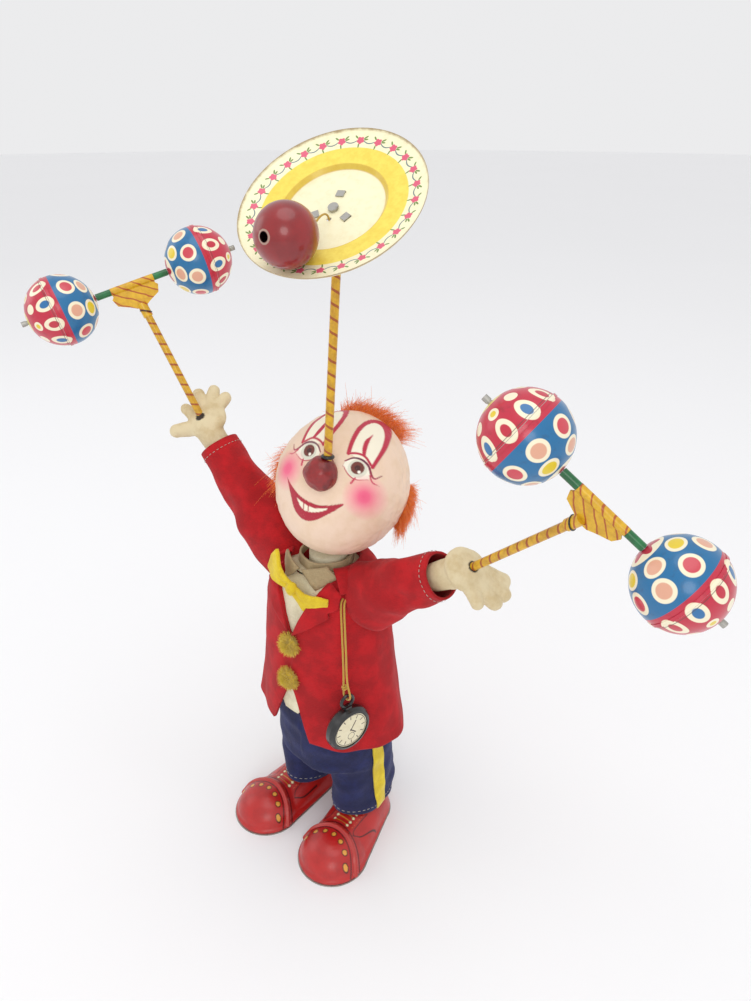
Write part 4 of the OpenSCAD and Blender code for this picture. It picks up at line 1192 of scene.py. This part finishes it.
def sleeve_form(side):
    """A loose sleeve from under the coat's shoulder to the cuff, with bunched folds."""
    shoulder = pivot("arm_%s_swing" % side)
    hand_at = pivot("wand_%s_spin" % side)
    shoulder.y = hand_at.y
    way = (shoulder - hand_at).normalized()
    start = hand_at + way * 13.5 * MM
    end = shoulder + mm(0, 1, -2) + way * -3 * MM
    stand = facing(way, Vector(), (0, 1, 0)).to_3x3()
    seed = 3 if side == "left" else 8

    def place(u, v):
        turn = math.tau * u
        t = v
        radius = (9.4 + 4.6 * t + 3.2 * t * t) * (1 - 0.45 * max(0, t * 4 - 3) ** 2)
        folds = 0.8 * math.sin(2 * turn + 9 * t + seed) + 0.7 * math.sin(3 * turn - 15 * t)
        pinch = 1.5 * wobble((math.cos(turn) * 1.2, math.sin(turn) * 1.2, t * 6.5), 1.0, seed)
        radius += (folds * 0.6 + pinch) * (0.35 + 0.65 * math.sin(math.pi * min(1, t * 1.1)))
        centre = start.lerp(end, t)
        flat = 1 - 0.12 * t
        return centre + stand @ Vector((radius * math.cos(turn) * flat, radius * math.sin(turn), 0)) * MM

    return sheet_grid(96, 80, place), place, shoulder, way


for side in ("right", "left"):
    form, sleeve_place, shoulder, way = sleeve_form(side)
    name = "sleeve_velveteen_" + side
    data = settled(mesh_of(form, name), name, ("SOLIDIFY", {"thickness": 1.0 * MM, "offset": -1}))
    sleeve = keep(name, data, None, "plush_red", RED, ["sleeve_" + side])
    tuple(shoulder - way * 10 * MM)
    tuple(shoulder - way * 26 * MM)
    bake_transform(sleeve)
    dashes = []
    for i in range(30):
        centre = sum((sleeve_place(k / 8, 0.05) for k in range(8)), Vector()) / 8
        dashes.append([centre + (sleeve_place((i + t) / 30, 0.05) - centre) * 1.03 for t in (0, 0.5)])
    threads("cuff_stitches_" + side, dashes, 0.13 * MM, "arm_" + side, "plush_red", THREAD)

# --- shirt, collar, tie, pompoms -------------------------------------------------------------
LINEN = cloth("cream_crepe", srgb(226, 216, 186), srgb(196, 184, 150), 0.6, weave=0.6, sheen=0.1)
TAPE = cloth("tan_tape", srgb(182, 164, 128), srgb(150, 130, 96), 0.5, weave=0.5, sheen=0.1)
CREPE = cloth("yellow_crepe", srgb(226, 196, 40), srgb(202, 164, 24), 0.55, weave=0.8, sheen=0.15)


def chest(x, z, lift):
    return coat_point(math.asin(max(-1, min(1, x / (girth(z) - 1.6)))), z, lift)


form = patch([(-4, 82), (4, 82), (12, 94), (13, 126), (15, 150), (-15, 150), (-13, 126), (-12, 94)],
             lambda x, z: chest(x, z, -1.9), cuts=4)
thick(form, "shirt_crepe", 0.5 * MM, "figure", "shirt_cloth", LINEN, ["shirt_front"], offset=0, rounded=False)


def collar_points():
    def place(x, z):
        back = math.sqrt(max(4, 18.6 ** 2 - x * x)) * 0.92
        return mm(s * x, 2.6 - back - (157 - z) * 0.22, z)

    form = bmesh.new()
    for s in (-1, 1):
        leaf = patch([(0.6, 154), (11.5, 157.4), (15.4, 152), (8.4, 146.2)], place, cuts=3)
        pour(form, leaf)
    return form


thick(collar_points(), "collar_points", 0.9 * MM, "figure", "collar_cloth", TAPE, ["collar"], offset=0,
    rounded=False)


def round_neck(start, stop, columns, rows, place):
    """A strip round the neck: place takes the turn from the front and the share across the strip."""
    return sheet_grid(columns, rows, lambda u, v: place(start + (stop - start) * u, v))


def band_place(turn, v):
    r = 12.6 - 1.4 * v + 0.25 * math.sin(5 * turn)
    return mm(r * math.sin(turn), 1.6 - r * math.cos(turn), 148.0 + 7.4 * v)


def yoke_place(turn, v):
    return mm(12 * math.sin(turn), 1.6 - 12 * math.cos(turn), 151.2).lerp(coat_point(turn, 150.6, -1.5), v)


def roll_place(turn, v):
    low = coat_point(turn, 146.8 - 0.8 * math.cos(3 * turn), 2.2)
    top = mm(15.6 * math.sin(turn), 1.6 - 13.6 * math.cos(turn), 154.6)
    out = Vector((math.sin(turn), -math.cos(turn), 0.8))
    return top.lerp(low, v) + out * (1.6 * math.sin(math.pi * v) * MM)


thick(round_neck(-math.pi, math.pi, 96, 10, band_place), "neck_band", 0.8 * MM,
      "figure", "collar_cloth", TAPE, offset=0, rounded=False)
thick(round_neck(-math.pi, math.pi, 96, 6, yoke_place), "shirt_yoke", 0.4 * MM,
      "figure", "shirt_cloth", LINEN, offset=0, rounded=False)
thick(round_neck(0.85, math.tau - 0.85, 120, 12, roll_place), "coat_collar", 1.1 * MM,
      "figure", "plush_red", RED, offset=0, rounded=False)


wrap = bmesh.new()
bmesh.ops.create_cone(wrap, cap_ends=True, segments=64, radius1=9 * MM, radius2=8.6 * MM, depth=10 * MM,
                      matrix=Matrix.Translation(mm(0, 3, 150)))
keep("neck_wrap", mesh_of(wrap, "neck_wrap"), "neck", "shirt_cloth", LINEN)

TIE = mm(0, -20.6, 147.0)
TIE_LEAN = Matrix.Rotation(math.radians(26), 3, "Y")


def tie_place(x, z):
    """A place on the bow: across and up from its knot, with soft gathers at the knot."""
    back = 0.013 * x * x - 1.5 * math.exp(-((abs(x) - 9) / 5) ** 2)
    gather = 0.55 * math.sin(z * 2.1 + 1) * math.exp(-abs(x) / 7)
    return TIE + TIE_LEAN @ mm(x, back + gather + 0.5 * wobble((x, 0, z), 4, 3), z)


for s, side in ((1, "left"), (-1, "right")):
    wing = [(0.8, 2.4), (6, 3.6), (11, 6.0), (16.2, 7.6), (17.6, 2), (16.8, -5.8), (11, -5.2), (6, -3.4),
        (0.8, -2.6)]
    thick(patch([(s * x, z) for x, z in wing], tie_place, cuts=3), "bow_wing_" + side, 1.8 * MM, "figure",
          "crepe_yellow", CREPE, offset=0)
form = bmesh.new()
ball(form, TIE - mm(0, 0.6, 0), (2.7, 2.2, 3.6), TIE_LEAN.to_4x4())
data = mesh_of(form, "bow_knot")
for corner in data.vertices:
    corner.co += corner.normal * 0.5 * wobble(corner.co / MM, 2.2, 5) * MM
keep("bow_knot", data, "figure", "crepe_yellow", CREPE, ["bow_tie"])

for i, (z, name) in enumerate(((119.4, "upper"), (101.5, "lower"))):
    spot = coat_point(0.0, z, 0.6)
    core = bmesh.new()
    ball(core, spot + mm(0, -0.8, 0), (4.0, 2.5, 3.8))
    keep("pompom_core_" + name, mesh_of(core, "core"), "figure", "olive_fluff", FLUFF)
    dice = random.Random(20 + i)
    hairs = []
    for _ in range(1400):
        way = Vector((dice.gauss(0, 1), -abs(dice.gauss(0, 0.9)), dice.gauss(0, 1))).normalized()
        long = dice.uniform(4.7, 6.0)
        bend = Vector((dice.gauss(0, 0.5), dice.gauss(0, 0.3), dice.gauss(0, 0.5)))
        hairs.append([spot + (way * t * long + bend * (t * t)) * MM for t in (0.3, 0.7, 1.0)])
    threads("pompom_" + name, hairs, 0.13 * MM, "figure", "olive_fluff", FLUFF,
            ["coat_buttons"] if i == 0 else (), tip=0.4)

# --- watch ----------------------------------------------------------------------------------
WATCH = mm(31.4, -22.5, 88.5)
WATCH_FACE = Vector((0.975, -0.22, 0)).normalized()
WATCH_SIDE = Vector((0, 0, 1)).cross(WATCH_FACE)


def dial_print():
    finish = Finish("dial_print", Roughness=0.35, Coat_Weight=0.5, Coat_Roughness=0.1)
    x = finish.along(WATCH, WATCH_SIDE)
    y = finish.along(WATCH, (0, 0, 1))
    radius = (x * x + y * y) ** 0.5
    turn = x.math("ARCTAN2", y) / math.tau
    hours = abs((turn * 12 + 100.5).math("FRACT") - 0.5) * radius * (math.tau / 12)
    short = 1 - finish.step(radius, 7.4, 0.1)
    ticks = (1 - finish.step(hours, 0.2, 0.08)) * finish.step(radius, 5.7, 0.1) * short
    ink = ticks | (1 - finish.step(abs(radius - 7.8), 0.14, 0.06))

    def hand(angle, long):
        cos, sin = math.cos(angle), math.sin(angle)
        forward = x * sin + y * cos
        aside = abs(x * cos - y * sin)
        before = 1 - finish.step(forward, long, 0.1)
        return (1 - finish.step(aside, 0.28, 0.08)) * finish.step(forward, -0.6, 0.1) * before

    ink = ink | hand(0.6, 5.0) | hand(2.35, 3.6)
    low = (x * x + (y + 3.4) * (y + 3.4)) ** 0.5
    ink = ink | ((1 - finish.step(abs(low - 1.7), 0.14, 0.06)) * 0.9)
    worn = finish.grain(2 * MM, 4)
    paper = finish.mix(worn, srgb(238, 230, 200), srgb(214, 202, 162))
    finish.set("Base Color", finish.mix(ink, paper, INK))
    return finish.material


dress("watch_dial", dial_print())
dress("watch_case", BLACK)

# --- clockwork ------------------------------------------------------------------------------
for node in ("motor_front_plate", "motor_back_plate", "motor_pillars", "slide_screws", "click", "winding_key",
             "crank_disc", "drive_bar", "arm_lever_right", "arm_lever_left", "neck_rocker", "body_shell"):
    dress(node, STEEL)
for node in ("winding_arbor", "great_wheel", "second_wheel", "crank_wheel", "governor_fly"):
    dress(node, BRASS)
dress("mainspring", BLUED)

# --- floor and light ------------------------------------------------------------------------
floor_form = bmesh.new()
bmesh.ops.create_circle(floor_form, cap_ends=True, segments=96, radius=6)
floor = bpy.data.objects.new("floor", mesh_of(floor_form, "floor", False))
scene.collection.objects.link(floor)
floor_finish = Finish("pale_floor", Roughness=0.7)
pale = floor_finish.grain(0.4, 2)
floor_finish.set("Base Color", floor_finish.mix(pale, srgb(247, 247, 248), srgb(249, 249, 250)))
floor.data.materials.append(floor_finish.material)

world = bpy.data.worlds.new("studio")
scene.world = world
world.use_nodes = True
world.node_tree.nodes["Background"].inputs["Color"].default_value = (0.93, 0.93, 0.94, 1)
world.node_tree.nodes["Background"].inputs["Strength"].default_value = 0.9


def lamp(name, spot, aim, size, power, colour=(1, 1, 1)):
    light = bpy.data.lights.new(name, "AREA")
    light.shape = "DISK"
    light.size = size
    light.energy = power
    light.color = colour
    holder = bpy.data.objects.new(name, light)
    scene.collection.objects.link(holder)
    holder.location = spot
    holder.rotation_euler = (Vector(aim) - Vector(spot)).to_track_quat("-Z", "Y").to_euler()


lamp("top_softbox", (0.15, -0.1, 1.25), (0, 0, 0.15), 0.9, 2.6)
lamp("front_softbox", (0.75, -0.95, 0.75), (0, 0, 0.18), 0.6, 2.6, (1, 0.985, 0.96))
lamp("side_softbox", (-0.95, -0.35, 0.6), (0, 0, 0.18), 0.6, 0.7)
scene.view_settings.view_transform = "Standard"
